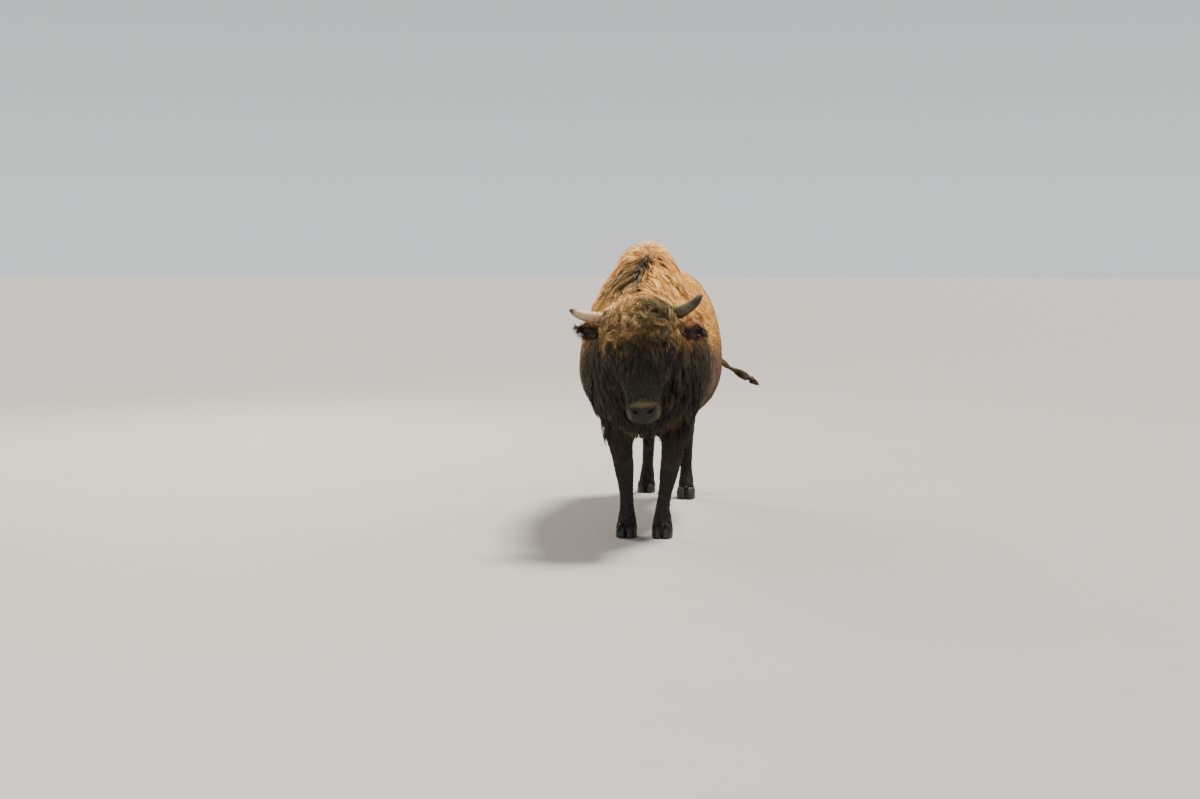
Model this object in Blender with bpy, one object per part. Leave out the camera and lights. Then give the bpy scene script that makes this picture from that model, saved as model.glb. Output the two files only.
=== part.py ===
"""A life-size wisent bull, standing with its head lowered, in 32 named solids.

Frame: metres, +Z up, soles on z = 0, the nose towards -Y, the animal's left at +X.
The outline is the outline of the coat, out to the tips of the hair.
The flesh is lofted from sections, fused into one body and then parted by thin cuts.
"""

import math

import bmesh
import bpy
import numpy as np
from mathutils import Matrix, Vector

# ---------------------------------------------------------------- driving sizes
SHOULDER_HEIGHT = 1.75      # crown of the hump above the ground
HUMP_Y = 0.12               # the hump's crown behind the front feet
PART_GAP = 0.0004           # air between two neighbouring pieces

VOXEL = 0.013               # fineness of the fused body before it is thinned out
SMOOTH_ROUNDS = 6
TORSO_SMOOTH_ROUNDS = 26    # softens shoulders and haunches above the legs
TORSO_FLOOR = 0.78          # the height where that softening starts
TORSO_FRONT = -0.30         # and its front end
BODY_TRIANGLES = 4150       # of the fused body, before the cuts
BODY_RING = 40              # points round a section of the trunk
LIMB_RING = 20

# Trunk and neck: value along the body at a distance Y behind the front feet.
BACK_LINE = ((-0.50, 1.41), (-0.36, 1.50), (-0.18, 1.615), (-0.02, 1.715), (HUMP_Y, SHOULDER_HEIGHT),
             (0.36, 1.715), (0.65, 1.645), (0.95, 1.600), (1.20, 1.588), (1.42, 1.565), (1.60, 1.50),
             (1.74, 1.39), (1.825, 1.24))
BELLY_LINE = ((-0.50, 1.00), (-0.40, 0.84), (-0.27, 0.69), (-0.12, 0.61), (0.10, 0.60), (0.45, 0.615),
              (0.80, 0.615), (1.00, 0.655), (1.16, 0.74), (1.34, 0.84), (1.60, 0.92), (1.74, 0.96), (1.825, 1.05))
HALF_WIDTH = ((-0.50, 0.15), (-0.38, 0.235), (-0.20, 0.305), (0.02, 0.362), (0.28, 0.405), (0.55, 0.438),
              (0.85, 0.440), (1.10, 0.408), (1.34, 0.352), (1.58, 0.285), (1.74, 0.20), (1.825, 0.10))
WIDEST_HEIGHT = ((-0.50, 1.18), (-0.20, 1.06), (0.05, 1.00), (0.55, 0.97), (1.00, 1.00), (1.40, 1.14),
                 (1.825, 1.18))
CREST_POWER = ((-0.50, 2.0), (-0.10, 1.75), (0.25, 1.70), (0.70, 1.95), (1.20, 2.35), (1.825, 2.1))
BELLY_POWER = ((-0.50, 1.9), (0.10, 1.9), (0.70, 2.25), (1.20, 2.1), (1.825, 2.0))
SPINE_BEND = ((-0.50, 0.0), (0.05, 0.0), (0.45, -0.028), (0.80, -0.012), (1.20, 0.0), (1.825, 0.012))
TRUNK_STATIONS = 27

# Head: value at a distance down the face from the poll. "brow" is out of the face,
# "throat" is behind the head's own line.
POLL = Vector((0.0, -0.43, 1.42))
FACE_TILT = math.radians(18)        # the face leans forward of the plumb line
HEAD_ROLL = math.radians(4.3)       # the animal's left side is carried higher
HEAD_LENGTH = (-0.030, 0.705)
HEAD_HALF_WIDTH = ((-0.030, 0.08), (0.00, 0.155), (0.07, 0.215), (0.15, 0.226), (0.23, 0.212), (0.31, 0.188),
                   (0.39, 0.160), (0.47, 0.127), (0.54, 0.102), (0.60, 0.098), (0.65, 0.097), (0.69, 0.072),
                   (0.705, 0.040))
HEAD_BROW = ((-0.030, 0.05), (0.00, 0.10), (0.07, 0.150), (0.15, 0.165), (0.23, 0.150), (0.31, 0.122),
             (0.39, 0.103), (0.47, 0.092), (0.54, 0.085), (0.60, 0.082), (0.65, 0.071), (0.69, 0.044),
             (0.705, 0.018))
HEAD_THROAT = ((-0.030, 0.08), (0.00, 0.13), (0.15, 0.20), (0.25, 0.215), (0.35, 0.205), (0.45, 0.172),
               (0.54, 0.138), (0.60, 0.122), (0.65, 0.110), (0.69, 0.080), (0.705, 0.040))
HEAD_POWER = ((-0.030, 2.0), (0.15, 2.25), (0.31, 2.3), (0.45, 2.2), (0.62, 2.5), (0.705, 2.2))
HEAD_STATIONS = 24

EYE_RADIUS = 0.021
EYE_PLACE = (0.163, 0.313, 0.053)   # out, down the face, out of the face
HORN_BASE_RADIUS = 0.039
HORN_TIP_RADIUS = 0.006
HORN_RISE = {"left": 0.90, "right": 0.52}     # how steeply each horn climbs
HORN_REACH = {"left": 0.945, "right": 1.050}   # how far out each horn goes
HORN_STATIONS = 12
HORN_RING = 10
EAR_LENGTH = 0.19
EAR_HALF_HEIGHT = 0.045
EAR_HALF_DEPTH = 0.020
EAR_STATIONS = 8
EAR_RING = 10
EAR_ROOT = (0.175, 0.142, -0.045)
EAR_DROOP = {"left": 0.038, "right": -0.016}

# Beard under the chin: height, place behind the front feet, half width, half depth.
BEARD_SECTIONS = ((0.920, -0.490, 0.052, 0.060), (0.850, -0.500, 0.066, 0.080), (0.770, -0.510, 0.058, 0.070),
                  (0.705, -0.522, 0.042, 0.048), (0.650, -0.532, 0.018, 0.018))

# Legs: height, forward or back, half width, half depth; the side is added per leg.
FRONT_LEG = ((1.10, 0.05, 0.110, 0.190), (0.90, 0.04, 0.118, 0.175), (0.76, 0.03, 0.108, 0.140),
             (0.65, 0.01, 0.092, 0.106), (0.55, 0.00, 0.079, 0.086), (0.46, -0.005, 0.067, 0.073),
             (0.385, -0.010, 0.061, 0.069), (0.32, -0.004, 0.051, 0.055), (0.24, 0.000, 0.045, 0.049),
             (0.175, 0.000, 0.047, 0.053), (0.130, -0.004, 0.055, 0.063), (0.095, -0.014, 0.053, 0.060),
             (0.050, -0.026, 0.060, 0.070))
HIND_LEG = ((1.28, 1.46, 0.105, 0.250), (1.12, 1.455, 0.130, 0.325), (0.98, 1.445, 0.128, 0.315),
            (0.86, 1.42, 0.112, 0.262), (0.76, 1.455, 0.092, 0.180), (0.66, 1.53, 0.073, 0.122),
            (0.585, 1.605, 0.063, 0.090), (0.52, 1.635, 0.060, 0.076), (0.44, 1.635, 0.053, 0.060),
            (0.33, 1.625, 0.046, 0.051), (0.20, 1.620, 0.044, 0.051), (0.135, 1.617, 0.052, 0.061),
            (0.095, 1.605, 0.050, 0.058), (0.050, 1.592, 0.057, 0.067))
FRONT_FOOT_X = 0.108
FRONT_KNEE_X = {"left": 0.145, "right": 0.122}
FRONT_ELBOW_X = 0.205
FRONT_KNEE_HEIGHT = 0.385
FRONT_ELBOW_HEIGHT = 0.85
HIND_FOOT_X = {"left": 0.160, "right": 0.135}
HOCK_X = {"left": 0.163, "right": 0.122}
HIND_HIP_X = 0.195
HIND_STEP = {"left": -0.125, "right": 0.150}    # the foot ahead of or behind its neutral place
HOCK_HEIGHT = 0.55
HOCK_SHARE = 0.42                               # of the step that the hock takes

SHOULDER_SWELL = (0.145, 0.255, 0.370)
HAUNCH_SWELL = (0.158, 0.330, 0.400)
FOOT_LEVEL = 0.050                  # where a leg's last section stands over its foot
CLAW_LENGTH = 0.132
CLAW_WIDTH = 0.059
CLAW_HEIGHT = 0.078
CLAW_SPREAD = 0.033                 # from the foot's middle to a claw's middle
CLAW_RING = 10
DEWCLAW_HEIGHT = 0.115
DEWCLAW_RADII = (0.015, 0.014, 0.021)
DEWCLAW_SPREAD = 0.028

# Tail: swung out to the left. Points from the rump to the end of the bone.
TAIL_ROUTE = ((0.025, 1.765, 1.315), (0.075, 1.845, 1.235), (0.165, 1.895, 1.115), (0.265, 1.915, 1.005),
              (0.365, 1.915, 0.920), (0.440, 1.905, 0.868))
TAIL_RADIUS = (0.040, 0.022)
TUFT_ROUTE = ((0.442, 1.9047, 0.8668), (0.500, 1.895, 0.835), (0.560, 1.885, 0.802), (0.615, 1.875, 0.768))
TUFT_RADII = ((0.00, 0.020), (0.30, 0.040), (0.65, 0.034), (1.00, 0.008))

# Places of the cuts that part the fused body.
HEAD_CUT = ((0.0, -0.345, 1.50), (0.0, -0.400, 0.95))       # two points of a cross-wise plane
NECK_CUT = ((0.0, -0.070, 1.72), (0.0, -0.240, 0.60))
FRONT_LEG_CUT = {"crown": 0.555, "slope": 0.84, "front": -0.215, "back": 0.235}
HIND_LEG_CUT = {"crown": 0.700, "slope": 1.55, "front": 1.040, "back": 2.2}

# Finishes: colour, roughness.
COAT_BROWN = ((0.16, 0.075, 0.030, 1.0), 0.9)
COAT_TAWNY = ((0.33, 0.17, 0.065, 1.0), 0.9)
COAT_DARK = ((0.030, 0.019, 0.012, 1.0), 0.9)
HORN_GREY = ((0.20, 0.17, 0.13, 1.0), 0.45)
HOOF_BLACK = ((0.030, 0.026, 0.023, 1.0), 0.5)
EYE_BLACK = ((0.010, 0.007, 0.005, 1.0), 0.08)

SIDES = {"left": 1.0, "right": -1.0}


# ---------------------------------------------------------------- small helpers
def clear_scene():
    """Remove every object that the scene holds."""
    for item in list(bpy.data.objects):
        bpy.data.objects.remove(item, do_unlink=True)


def smooth_value(knots, place):
    """Read a smooth curve through (place, value) knots."""
    xs = np.array([knot[0] for knot in knots])
    ys = np.array([knot[1] for knot in knots])
    slopes = np.gradient(ys, xs)
    index = int(np.clip(np.searchsorted(xs, place) - 1, 0, len(xs) - 2))
    span = xs[index + 1] - xs[index]
    t = float(np.clip((place - xs[index]) / span, 0.0, 1.0))
    ease_in = t * t * (3.0 - 2.0 * t)
    rise = span * (t * (1.0 - t) ** 2 * slopes[index] - t * t * (1.0 - t) * slopes[index + 1])
    return float(ys[index] * (1.0 - ease_in) + ys[index + 1] * ease_in + rise)


def route_point(route, share):
    """Point at a share of the way along a smooth route through the given points."""
    steps = np.linspace(0.0, 1.0, len(route))
    return Vector([smooth_value(list(zip(steps, [point[axis] for point in route])), share) for axis in range(3)])


def signed_power(value, power):
    """Raise the size of a value to a power and keep its sign."""
    return math.copysign(abs(value) ** power, value)


def make_material(name, finish):
    """Principled material with a plain colour and roughness."""
    colour, roughness = finish
    material = bpy.data.materials.new(name)
    material.use_nodes = True
    shader = material.node_tree.nodes["Principled BSDF"]
    shader.inputs["Base Color"].default_value = colour
    shader.inputs["Roughness"].default_value = roughness
    shader.inputs["Metallic"].default_value = 0.0
    material.diffuse_color = colour
    return material


def add_object(name, mesh, material=None):
    """Link a mesh to the scene as a named object."""
    item = bpy.data.objects.new(name, mesh)
    bpy.context.scene.collection.objects.link(item)
    if material is not None:
        mesh.materials.clear()
        mesh.materials.append(material)
    return item


def loft(name, rings):
    """Closed mesh through rings of equal count, capped flat at both ends."""
    shape = bmesh.new()
    loops = [[shape.verts.new(point) for point in ring] for ring in rings]
    count = len(loops[0])
    for lower, upper in zip(loops, loops[1:]):
        for step in range(count):
            following = (step + 1) % count
            shape.faces.new((lower[step], lower[following], upper[following], upper[step]))
    shape.faces.new(list(reversed(loops[0])))
    shape.faces.new(loops[-1])
    bmesh.ops.recalc_face_normals(shape, faces=shape.faces)
    bmesh.ops.triangulate(shape, faces=shape.faces)
    mesh = bpy.data.meshes.new(name)
    shape.to_mesh(mesh)
    shape.free()
    return mesh


def evaluated_mesh(item, name):
    """Mesh of an object with its modifiers carried out."""
    graph = bpy.context.evaluated_depsgraph_get()
    graph.update()
    mesh = bpy.data.meshes.new_from_object(item.evaluated_get(graph))
    mesh.name = name
    return mesh


def combine(item, other, operation):
    """Carry out an exact Boolean on an object's own mesh."""
    cutter = item.modifiers.new("cut", "BOOLEAN")
    cutter.solver = "EXACT"
    cutter.operation = operation
    cutter.object = other
    mesh = evaluated_mesh(item, item.name)
    item.modifiers.clear()
    item.data = mesh


def triangulate(item, keep_sharp=35):
    """Leave only triangles, weld doubles and shade the round faces smooth."""
    shape = bmesh.new()
    shape.from_mesh(item.data)
    bmesh.ops.remove_doubles(shape, verts=shape.verts, dist=0.00005)
    bmesh.ops.dissolve_degenerate(shape, edges=shape.edges, dist=0.00005)
    bmesh.ops.triangulate(shape, faces=shape.faces)
    shape.to_mesh(item.data)
    shape.free()
    item.data.shade_smooth()
    item.data.set_sharp_from_angle(angle=math.radians(keep_sharp))


# ---------------------------------------------------------------- the head's own frame
def head_frame():
    """Matrix from head places (left, down the face, out of the face) to the world."""
    down = Vector((0.0, -math.sin(FACE_TILT), -math.cos(FACE_TILT)))
    out = Vector((0.0, -math.cos(FACE_TILT), math.sin(FACE_TILT)))
    left = Vector((1.0, 0.0, 0.0))
    turn = Matrix.Rotation(-HEAD_ROLL, 3, "Y")
    axes = Matrix((turn @ left, turn @ down, turn @ out)).transposed()
    return Matrix.Translation(POLL) @ axes.to_4x4()


def in_head(side, place):
    """World point of a head place, mirrored to the given side."""
    return head_frame() @ Vector((side * place[0], place[1], place[2]))


# ---------------------------------------------------------------- the fused body
def trunk_ring(y):
    """Section of the trunk or neck at a distance behind the front feet."""
    top = smooth_value(BACK_LINE, y)
    bottom = smooth_value(BELLY_LINE, y)
    half = smooth_value(HALF_WIDTH, y)
    middle = smooth_value(WIDEST_HEIGHT, y)
    bend = smooth_value(SPINE_BEND, y)
    ring = []
    for step in range(BODY_RING):
        angle = 2.0 * math.pi * step / BODY_RING
        upward = math.sin(angle) > 0.0
        power = smooth_value(CREST_POWER if upward else BELLY_POWER, y)
        reach = (top - middle) if upward else (middle - bottom)
        across = half * signed_power(math.cos(angle), 2.0 / power)
        height = middle + reach * signed_power(math.sin(angle), 2.0 / power)
        ring.append((bend + across, y, height))
    return ring


def head_ring(down):
    """Section of the head at a distance down the face."""
    half = smooth_value(HEAD_HALF_WIDTH, down)
    brow = smooth_value(HEAD_BROW, down)
    throat = smooth_value(HEAD_THROAT, down)
    exponent = 2.0 / smooth_value(HEAD_POWER, down)
    frame = head_frame()
    ring = []
    for step in range(BODY_RING):
        angle = 2.0 * math.pi * step / BODY_RING
        reach = brow if math.sin(angle) > 0.0 else throat
        across = half * signed_power(math.cos(angle), exponent)
        out = reach * signed_power(math.sin(angle), exponent)
        ring.append(frame @ Vector((across, down, out)))
    return ring


def flat_ring(middle, half_width, half_depth, count=LIMB_RING):
    """Level ellipse round a point."""
    ring = []
    for step in range(count):
        angle = 2.0 * math.pi * step / count
        ring.append((middle[0] + half_width * math.cos(angle), middle[1] + half_depth * math.sin(angle), middle[2]))
    return ring


def front_leg_x(side_name, height):
    """Distance of a front leg's middle from the middle plane."""
    knots = ((0.0, FRONT_FOOT_X), (0.18, FRONT_FOOT_X), (FRONT_KNEE_HEIGHT, FRONT_KNEE_X[side_name]),
             (FRONT_ELBOW_HEIGHT, FRONT_ELBOW_X), (1.4, FRONT_ELBOW_X))
    return smooth_value(knots, height)


def hind_leg_x(side_name, height):
    """Distance of a hind leg's middle from the middle plane."""
    knots = ((0.0, HIND_FOOT_X[side_name]), (HOCK_HEIGHT, HOCK_X[side_name]), (0.95, HIND_HIP_X),
             (1.4, HIND_HIP_X))
    return smooth_value(knots, height)


def hind_leg_shift(side_name, height):
    """How far a hind leg's middle is set ahead or back by its step."""
    step = HIND_STEP[side_name]
    knots = ((0.0, step), (HOCK_HEIGHT, step * HOCK_SHARE), (0.95, 0.0), (1.4, 0.0))
    return smooth_value(knots, height)


def leg_section(side_name, hind, height):
    """Middle, half width and half depth of a leg at a height."""
    table = HIND_LEG if hind else FRONT_LEG
    rising = sorted(table)
    y, half_width, half_depth = [smooth_value([(row[0], row[column]) for row in rising], height)
                                 for column in (1, 2, 3)]
    if hind:
        x = hind_leg_x(side_name, height)
        y += hind_leg_shift(side_name, height)
    else:
        x = front_leg_x(side_name, height)
    return Vector((SIDES[side_name] * x, y, height)), half_width, half_depth


def leg_mesh(side_name, hind):
    """Loft of one leg from its root inside the trunk to the pastern."""
    heights = [row[0] for row in (HIND_LEG if hind else FRONT_LEG)]
    return loft("leg", [flat_ring(*leg_section(side_name, hind, height)) for height in heights])


def foot_middle(side_name, hind):
    """Point on the ground under the middle of a foot."""
    middle = leg_section(side_name, hind, FOOT_LEVEL)[0]
    return Vector((middle.x, middle.y, 0.0))


def ellipsoid(middle, radii, turn=None, segments=24, rings=14):
    """Mesh of an ellipsoid with an optional rotation matrix."""
    shape = bmesh.new()
    matrix = Matrix.Translation(middle) @ (turn.to_4x4() if turn else Matrix()) @ Matrix.Diagonal((*radii, 1.0))
    bmesh.ops.create_uvsphere(shape, u_segments=segments, v_segments=rings, radius=1.0, matrix=matrix)
    mesh = bpy.data.meshes.new("ellipsoid")
    shape.to_mesh(mesh)
    shape.free()
    return mesh


def muscle_meshes():
    """Swellings that round out shoulders, haunches, brow, cheeks and chin."""
    frame = head_frame()
    axes = frame.to_3x3()
    shapes = []
    for side in SIDES.values():
        shapes.append(ellipsoid((side * 0.232, 0.05, 1.06), SHOULDER_SWELL))
        shapes.append(ellipsoid((side * 0.190, 1.42, 1.12), HAUNCH_SWELL))
        shapes.append(ellipsoid(frame @ Vector((side * 0.135, 0.250, 0.012)), (0.062, 0.085, 0.070), axes))
        shapes.append(ellipsoid(frame @ Vector((side * 0.100, 0.360, -0.060)), (0.070, 0.130, 0.110), axes))
        shapes.append(ellipsoid(frame @ Vector((side * 0.056, 0.618, 0.020)), (0.048, 0.050, 0.055), axes))
    shapes.append(ellipsoid(frame @ Vector((0.0, 0.110, 0.075)), (0.185, 0.150, 0.105), axes))
    shapes.append(ellipsoid(frame @ Vector((0.0, 0.660, -0.045)), (0.062, 0.045, 0.050), axes))
    return shapes


def fused_body():
    """One thinned-out body of trunk, neck, head and legs."""
    first_y, last_y = BACK_LINE[0][0], BACK_LINE[-1][0]
    stations = np.linspace(first_y, last_y, TRUNK_STATIONS)
    shapes = [loft("trunk", [trunk_ring(float(y)) for y in stations])]
    shapes.append(loft("head", [head_ring(float(s)) for s in np.linspace(*HEAD_LENGTH, HEAD_STATIONS)]))
    for side_name in SIDES:
        shapes.append(leg_mesh(side_name, hind=False))
        shapes.append(leg_mesh(side_name, hind=True))
    shapes.extend(muscle_meshes())
    joined = bmesh.new()
    for mesh in shapes:
        joined.from_mesh(mesh)
        bpy.data.meshes.remove(mesh)
    mesh = bpy.data.meshes.new("body")
    joined.to_mesh(mesh)
    joined.free()
    body = add_object("body", mesh)
    fuse = body.modifiers.new("fuse", "REMESH")
    fuse.mode = "VOXEL"
    fuse.voxel_size = VOXEL
    body.data = evaluated_mesh(body, "body")
    body.modifiers.clear()
    torso = body.vertex_groups.new(name="torso")
    for vertex in body.data.vertices:
        share = (vertex.co.z - TORSO_FLOOR) / 0.12
        if share > 0.0 and vertex.co.y > TORSO_FRONT:
            torso.add([vertex.index], min(share, 1.0), "REPLACE")
    for rounds, group in ((SMOOTH_ROUNDS, ""), (TORSO_SMOOTH_ROUNDS, "torso")):
        soften = body.modifiers.new("soften", "SMOOTH")
        soften.factor = 0.5
        soften.iterations = rounds
        soften.vertex_group = group
    body.data = evaluated_mesh(body, "body")
    body.modifiers.clear()
    thin = body.modifiers.new("thin", "DECIMATE")
    thin.ratio = BODY_TRIANGLES / sum(len(face.vertices) - 2 for face in body.data.polygons)
    body.data = evaluated_mesh(body, "body")
    body.modifiers.clear()
    return body


# ---------------------------------------------------------------- parting the body
def region(planes, margin=0.0):
    """Convex block bounded by (point, outward normal) planes, grown by a margin."""
    shape = bmesh.new()
    bmesh.ops.create_cube(shape, size=8.0)
    for point, normal in planes:
        outward = Vector(normal).normalized()
        everything = shape.verts[:] + shape.edges[:] + shape.faces[:]
        cut = bmesh.ops.bisect_plane(shape, geom=everything, plane_co=Vector(point) + outward * margin,
                                     plane_no=outward, clear_outer=True)
        rim = [part for part in cut["geom_cut"] if isinstance(part, bmesh.types.BMEdge)]
        bmesh.ops.contextual_create(shape, geom=rim)
    bmesh.ops.recalc_face_normals(shape, faces=shape.faces)
    mesh = bpy.data.meshes.new("region")
    shape.to_mesh(mesh)
    shape.free()
    block = add_object("region", mesh)
    block.hide_render = True
    block.display_type = "WIRE"
    return block


def discard(item):
    """Remove a helper object and its mesh."""
    mesh = item.data
    bpy.data.objects.remove(item, do_unlink=True)
    bpy.data.meshes.remove(mesh)


def take_part(rest, name, planes, material):
    """Part the block inside the planes from the rest, with a thin gap between them."""
    part = add_object(name, rest.data.copy(), material)
    block = region(planes)
    combine(part, block, "INTERSECT")
    discard(block)
    grown = region(planes, PART_GAP)
    combine(rest, grown, "DIFFERENCE")
    discard(grown)
    return part


def cross_plane(points, forward):
    """Plane across the body through two points of the middle plane."""
    first, second = Vector(points[0]), Vector(points[1])
    normal = (second - first).cross(Vector((1.0, 0.0, 0.0))).normalized()
    if (normal.y < 0.0) != forward:
        normal = -normal
    return (first, normal)


def leg_planes(side, cut):
    """Block that holds one leg: under a sloping roof, on one side, between two walls."""
    crown = Vector((0.0, 0.0, cut["crown"]))
    roof = Vector((-side * cut["slope"], 0.0, 1.0))
    return ((crown, roof),
            ((side * 0.0006, 0.0, 0.0), (-side, 0.0, 0.0)),
            ((0.0, cut["front"], 0.0), (0.0, -1.0, 0.0)),
            ((0.0, cut["back"], 0.0), (0.0, 1.0, 0.0)))


def seat(part, insert):
    """Open a seat for an inserted piece, with the usual gap all round it."""
    grown = add_object("grown", insert.data.copy())
    swell = grown.modifiers.new("swell", "DISPLACE")
    swell.strength = PART_GAP
    swell.mid_level = 0.0
    swell.direction = "NORMAL"
    grown.data = evaluated_mesh(grown, "grown")
    grown.modifiers.clear()
    combine(part, grown, "DIFFERENCE")
    discard(grown)


# ---------------------------------------------------------------- separate pieces
def round_ring(middle, along, radius, count, flatten=1.0):
    """Circle or ellipse round a point, square to a direction."""
    across = along.cross(Vector((0.0, 0.0, 1.0))).normalized()
    over = across.cross(along).normalized()
    ring = []
    for step in range(count):
        angle = 2.0 * math.pi * step / count
        ring.append(middle + across * radius * math.cos(angle) + over * radius * flatten * math.sin(angle))
    return ring


def tube(name, route, radius_at, stations, count, material):
    """Tapering round solid along a smooth route."""
    rings = []
    for step in range(stations):
        share = step / (stations - 1)
        ahead = route_point(route, min(share + 0.02, 1.0))
        behind = route_point(route, max(share - 0.02, 0.0))
        rings.append(round_ring(route_point(route, share), (ahead - behind).normalized(), radius_at(share), count))
    return add_object(name, loft(name, rings), material)


def horn_route(side_name):
    """Route of a horn: out of the side of the poll, then up and a little inward."""
    side = SIDES[side_name]
    rise = HORN_RISE[side_name]
    reach = HORN_REACH[side_name]
    local = ((0.125, 0.080, -0.010), (0.205, 0.080 - 0.004 * rise, 0.005), (0.274 * reach, 0.080 - 0.030 * rise, 0.022),
             (0.334 * reach, 0.080 - 0.066 * rise, 0.030), (0.376 * reach, 0.080 - 0.108 * rise, 0.026))
    return [in_head(side, place) for place in local]


def horn(side_name, material):
    """Curved, tapering horn with a blunt tip."""
    def radius(share):
        return HORN_TIP_RADIUS + (HORN_BASE_RADIUS - HORN_TIP_RADIUS) * (1.0 - share ** 1.5) ** 0.85
    return tube(f"horn_{side_name}", horn_route(side_name), radius, HORN_STATIONS, HORN_RING, material)


def ear(side_name, material):
    """Leaf-shaped ear with its fringe, pointing sideways and a little down."""
    side = SIDES[side_name]
    droop = EAR_DROOP[side_name]
    rings = []
    stations = EAR_STATIONS
    for step in range(stations):
        share = step / (stations - 1)
        leaf = max(math.sin(math.pi * (0.16 + 0.80 * share)), 0.0) ** 0.8
        out = EAR_ROOT[0] + EAR_LENGTH * share
        down = EAR_ROOT[1] + droop * share
        back = EAR_ROOT[2] - 0.020 * share + 0.018 * share * share
        ring = []
        for corner in range(EAR_RING):
            angle = 2.0 * math.pi * corner / EAR_RING
            place = (out, down + EAR_HALF_HEIGHT * leaf * math.cos(angle), back + EAR_HALF_DEPTH * leaf * math.sin(angle))
            ring.append(in_head(side, place))
        rings.append(ring)
    return add_object(f"ear_{side_name}", loft("ear", rings), material)


def eye(side_name, material):
    """Eyeball, of which the lids show a part."""
    middle = in_head(SIDES[side_name], EYE_PLACE)
    mesh = ellipsoid(middle, (EYE_RADIUS,) * 3, segments=10, rings=6)
    return add_object(f"eye_{side_name}", mesh, material)


def claw(name, foot, outward, material):
    """Half of a cloven hoof: flat inner wall, round outer wall, flat sole on the ground."""
    levels = ((0.0, 1.00, 1.00, 0.0), (0.012, 1.00, 1.02, 0.0), (0.045, 0.92, 0.98, 0.010), (1.0, 0.78, 0.86, 0.022))
    rings = []
    for level, length_share, width_share, shift in levels:
        height = CLAW_HEIGHT * level if level == 1.0 else level
        ring = []
        for step in range(CLAW_RING):
            angle = 2.0 * math.pi * step / CLAW_RING
            inner = math.cos(angle) * outward < 0.0
            across = signed_power(math.cos(angle), 0.8) * CLAW_WIDTH * 0.5 * width_share
            if inner:
                across *= 0.80
            forward = signed_power(math.sin(angle), 0.9) * CLAW_LENGTH * 0.5 * length_share
            toe_in = -0.008 * outward * max(-math.sin(angle), 0.0)
            middle_x = foot.x + outward * CLAW_SPREAD
            ring.append((middle_x + across + toe_in, foot.y - 0.012 + forward + shift, height))
        rings.append(ring)
    return add_object(name, loft(name, rings), material)


def dewclaw(name, side_name, hind, outward, material):
    """Small blunt claw behind the fetlock."""
    middle, _, half_depth = leg_section(side_name, hind, DEWCLAW_HEIGHT)
    place = middle + Vector((outward * DEWCLAW_SPREAD, half_depth * 0.90, 0.0))
    return add_object(name, ellipsoid(place, DEWCLAW_RADII, segments=6, rings=4), material)


def beard(material):
    """Tuft of long hair under the chin, following the head's roll."""
    rings = []
    for height, y, half_width, half_depth in BEARD_SECTIONS:
        sway = math.tan(HEAD_ROLL) * (POLL.z - height)
        rings.append(flat_ring((sway, y, height), half_width, half_depth, 12))
    return add_object("beard", loft("beard", rings), material)


def tail(material):
    """Tail from the rump to the end of its bone."""
    def radius(share):
        return TAIL_RADIUS[0] + (TAIL_RADIUS[1] - TAIL_RADIUS[0]) * share
    return tube("tail", TAIL_ROUTE, radius, 10, 10, material)


def tail_tuft(material):
    """Brush of long hair at the tail's end."""
    return tube("tail_tuft", TUFT_ROUTE, lambda share: smooth_value(TUFT_RADII, share), 7, 10, material)


def centre_on_ground():
    """Shift everything so that the origin is under the middle of the whole outline."""
    items = list(bpy.data.objects)
    corners = np.array([vertex.co for item in items for vertex in item.data.vertices])
    middle = (corners.min(axis=0) + corners.max(axis=0)) / 2.0
    shift = Matrix.Translation((-middle[0], -middle[1], 0.0))
    for item in items:
        item.data.transform(shift)


# ---------------------------------------------------------------- assembly
def build():
    """Model the animal and leave only its named solids in the scene."""
    clear_scene()
    brown = make_material("coat_brown", COAT_BROWN)
    tawny = make_material("coat_tawny", COAT_TAWNY)
    dark = make_material("coat_dark", COAT_DARK)
    grey = make_material("horn_grey", HORN_GREY)
    black = make_material("hoof_black", HOOF_BLACK)
    wet = make_material("eye_black", EYE_BLACK)

    rest = fused_body()
    head = take_part(rest, "head", (cross_plane(HEAD_CUT, forward=False),), dark)
    neck = take_part(rest, "neck", (cross_plane(NECK_CUT, forward=False),), tawny)
    legs = {}
    for side_name, side in SIDES.items():
        for hind, cut, label in ((False, FRONT_LEG_CUT, "front"), (True, HIND_LEG_CUT, "hind")):
            name = f"leg_{label}_{side_name}"
            legs[name] = take_part(rest, name, leg_planes(side, cut), dark)
    rest.name = "trunk"
    rest.data.materials.clear()
    rest.data.materials.append(brown)

    for side_name, side in SIDES.items():
        for hind, label in ((False, "front"), (True, "hind")):
            leg = legs[f"leg_{label}_{side_name}"]
            foot = foot_middle(side_name, hind)
            ground = region((((0.0, 0.0, CLAW_HEIGHT + PART_GAP), (0.0, 0.0, 1.0)),))
            combine(leg, ground, "DIFFERENCE")
            discard(ground)
            for outward, place in ((side, "outer"), (-side, "inner")):
                claw(f"hoof_{label}_{side_name}_{place}", foot, outward, black)
                spur = dewclaw(f"dewclaw_{label}_{side_name}_{place}", side_name, hind, outward, black)
                seat(leg, spur)

    for side_name in SIDES:
        for insert in (horn(side_name, grey), ear(side_name, brown), eye(side_name, wet)):
            seat(head, insert)
    chin_beard = beard(dark)
    combine(chin_beard, head, "DIFFERENCE")
    trunk_tail = tail(brown)
    tail_tuft(dark)
    seat(rest, trunk_tail)
    seat(head, chin_beard)

    for item in list(bpy.data.objects):
        triangulate(item)
    centre_on_ground()


build()
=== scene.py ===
"""A life-size wisent bull as a still museum-style model: one skin, a coat of locks, eyes, horns and hooves."""

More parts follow.
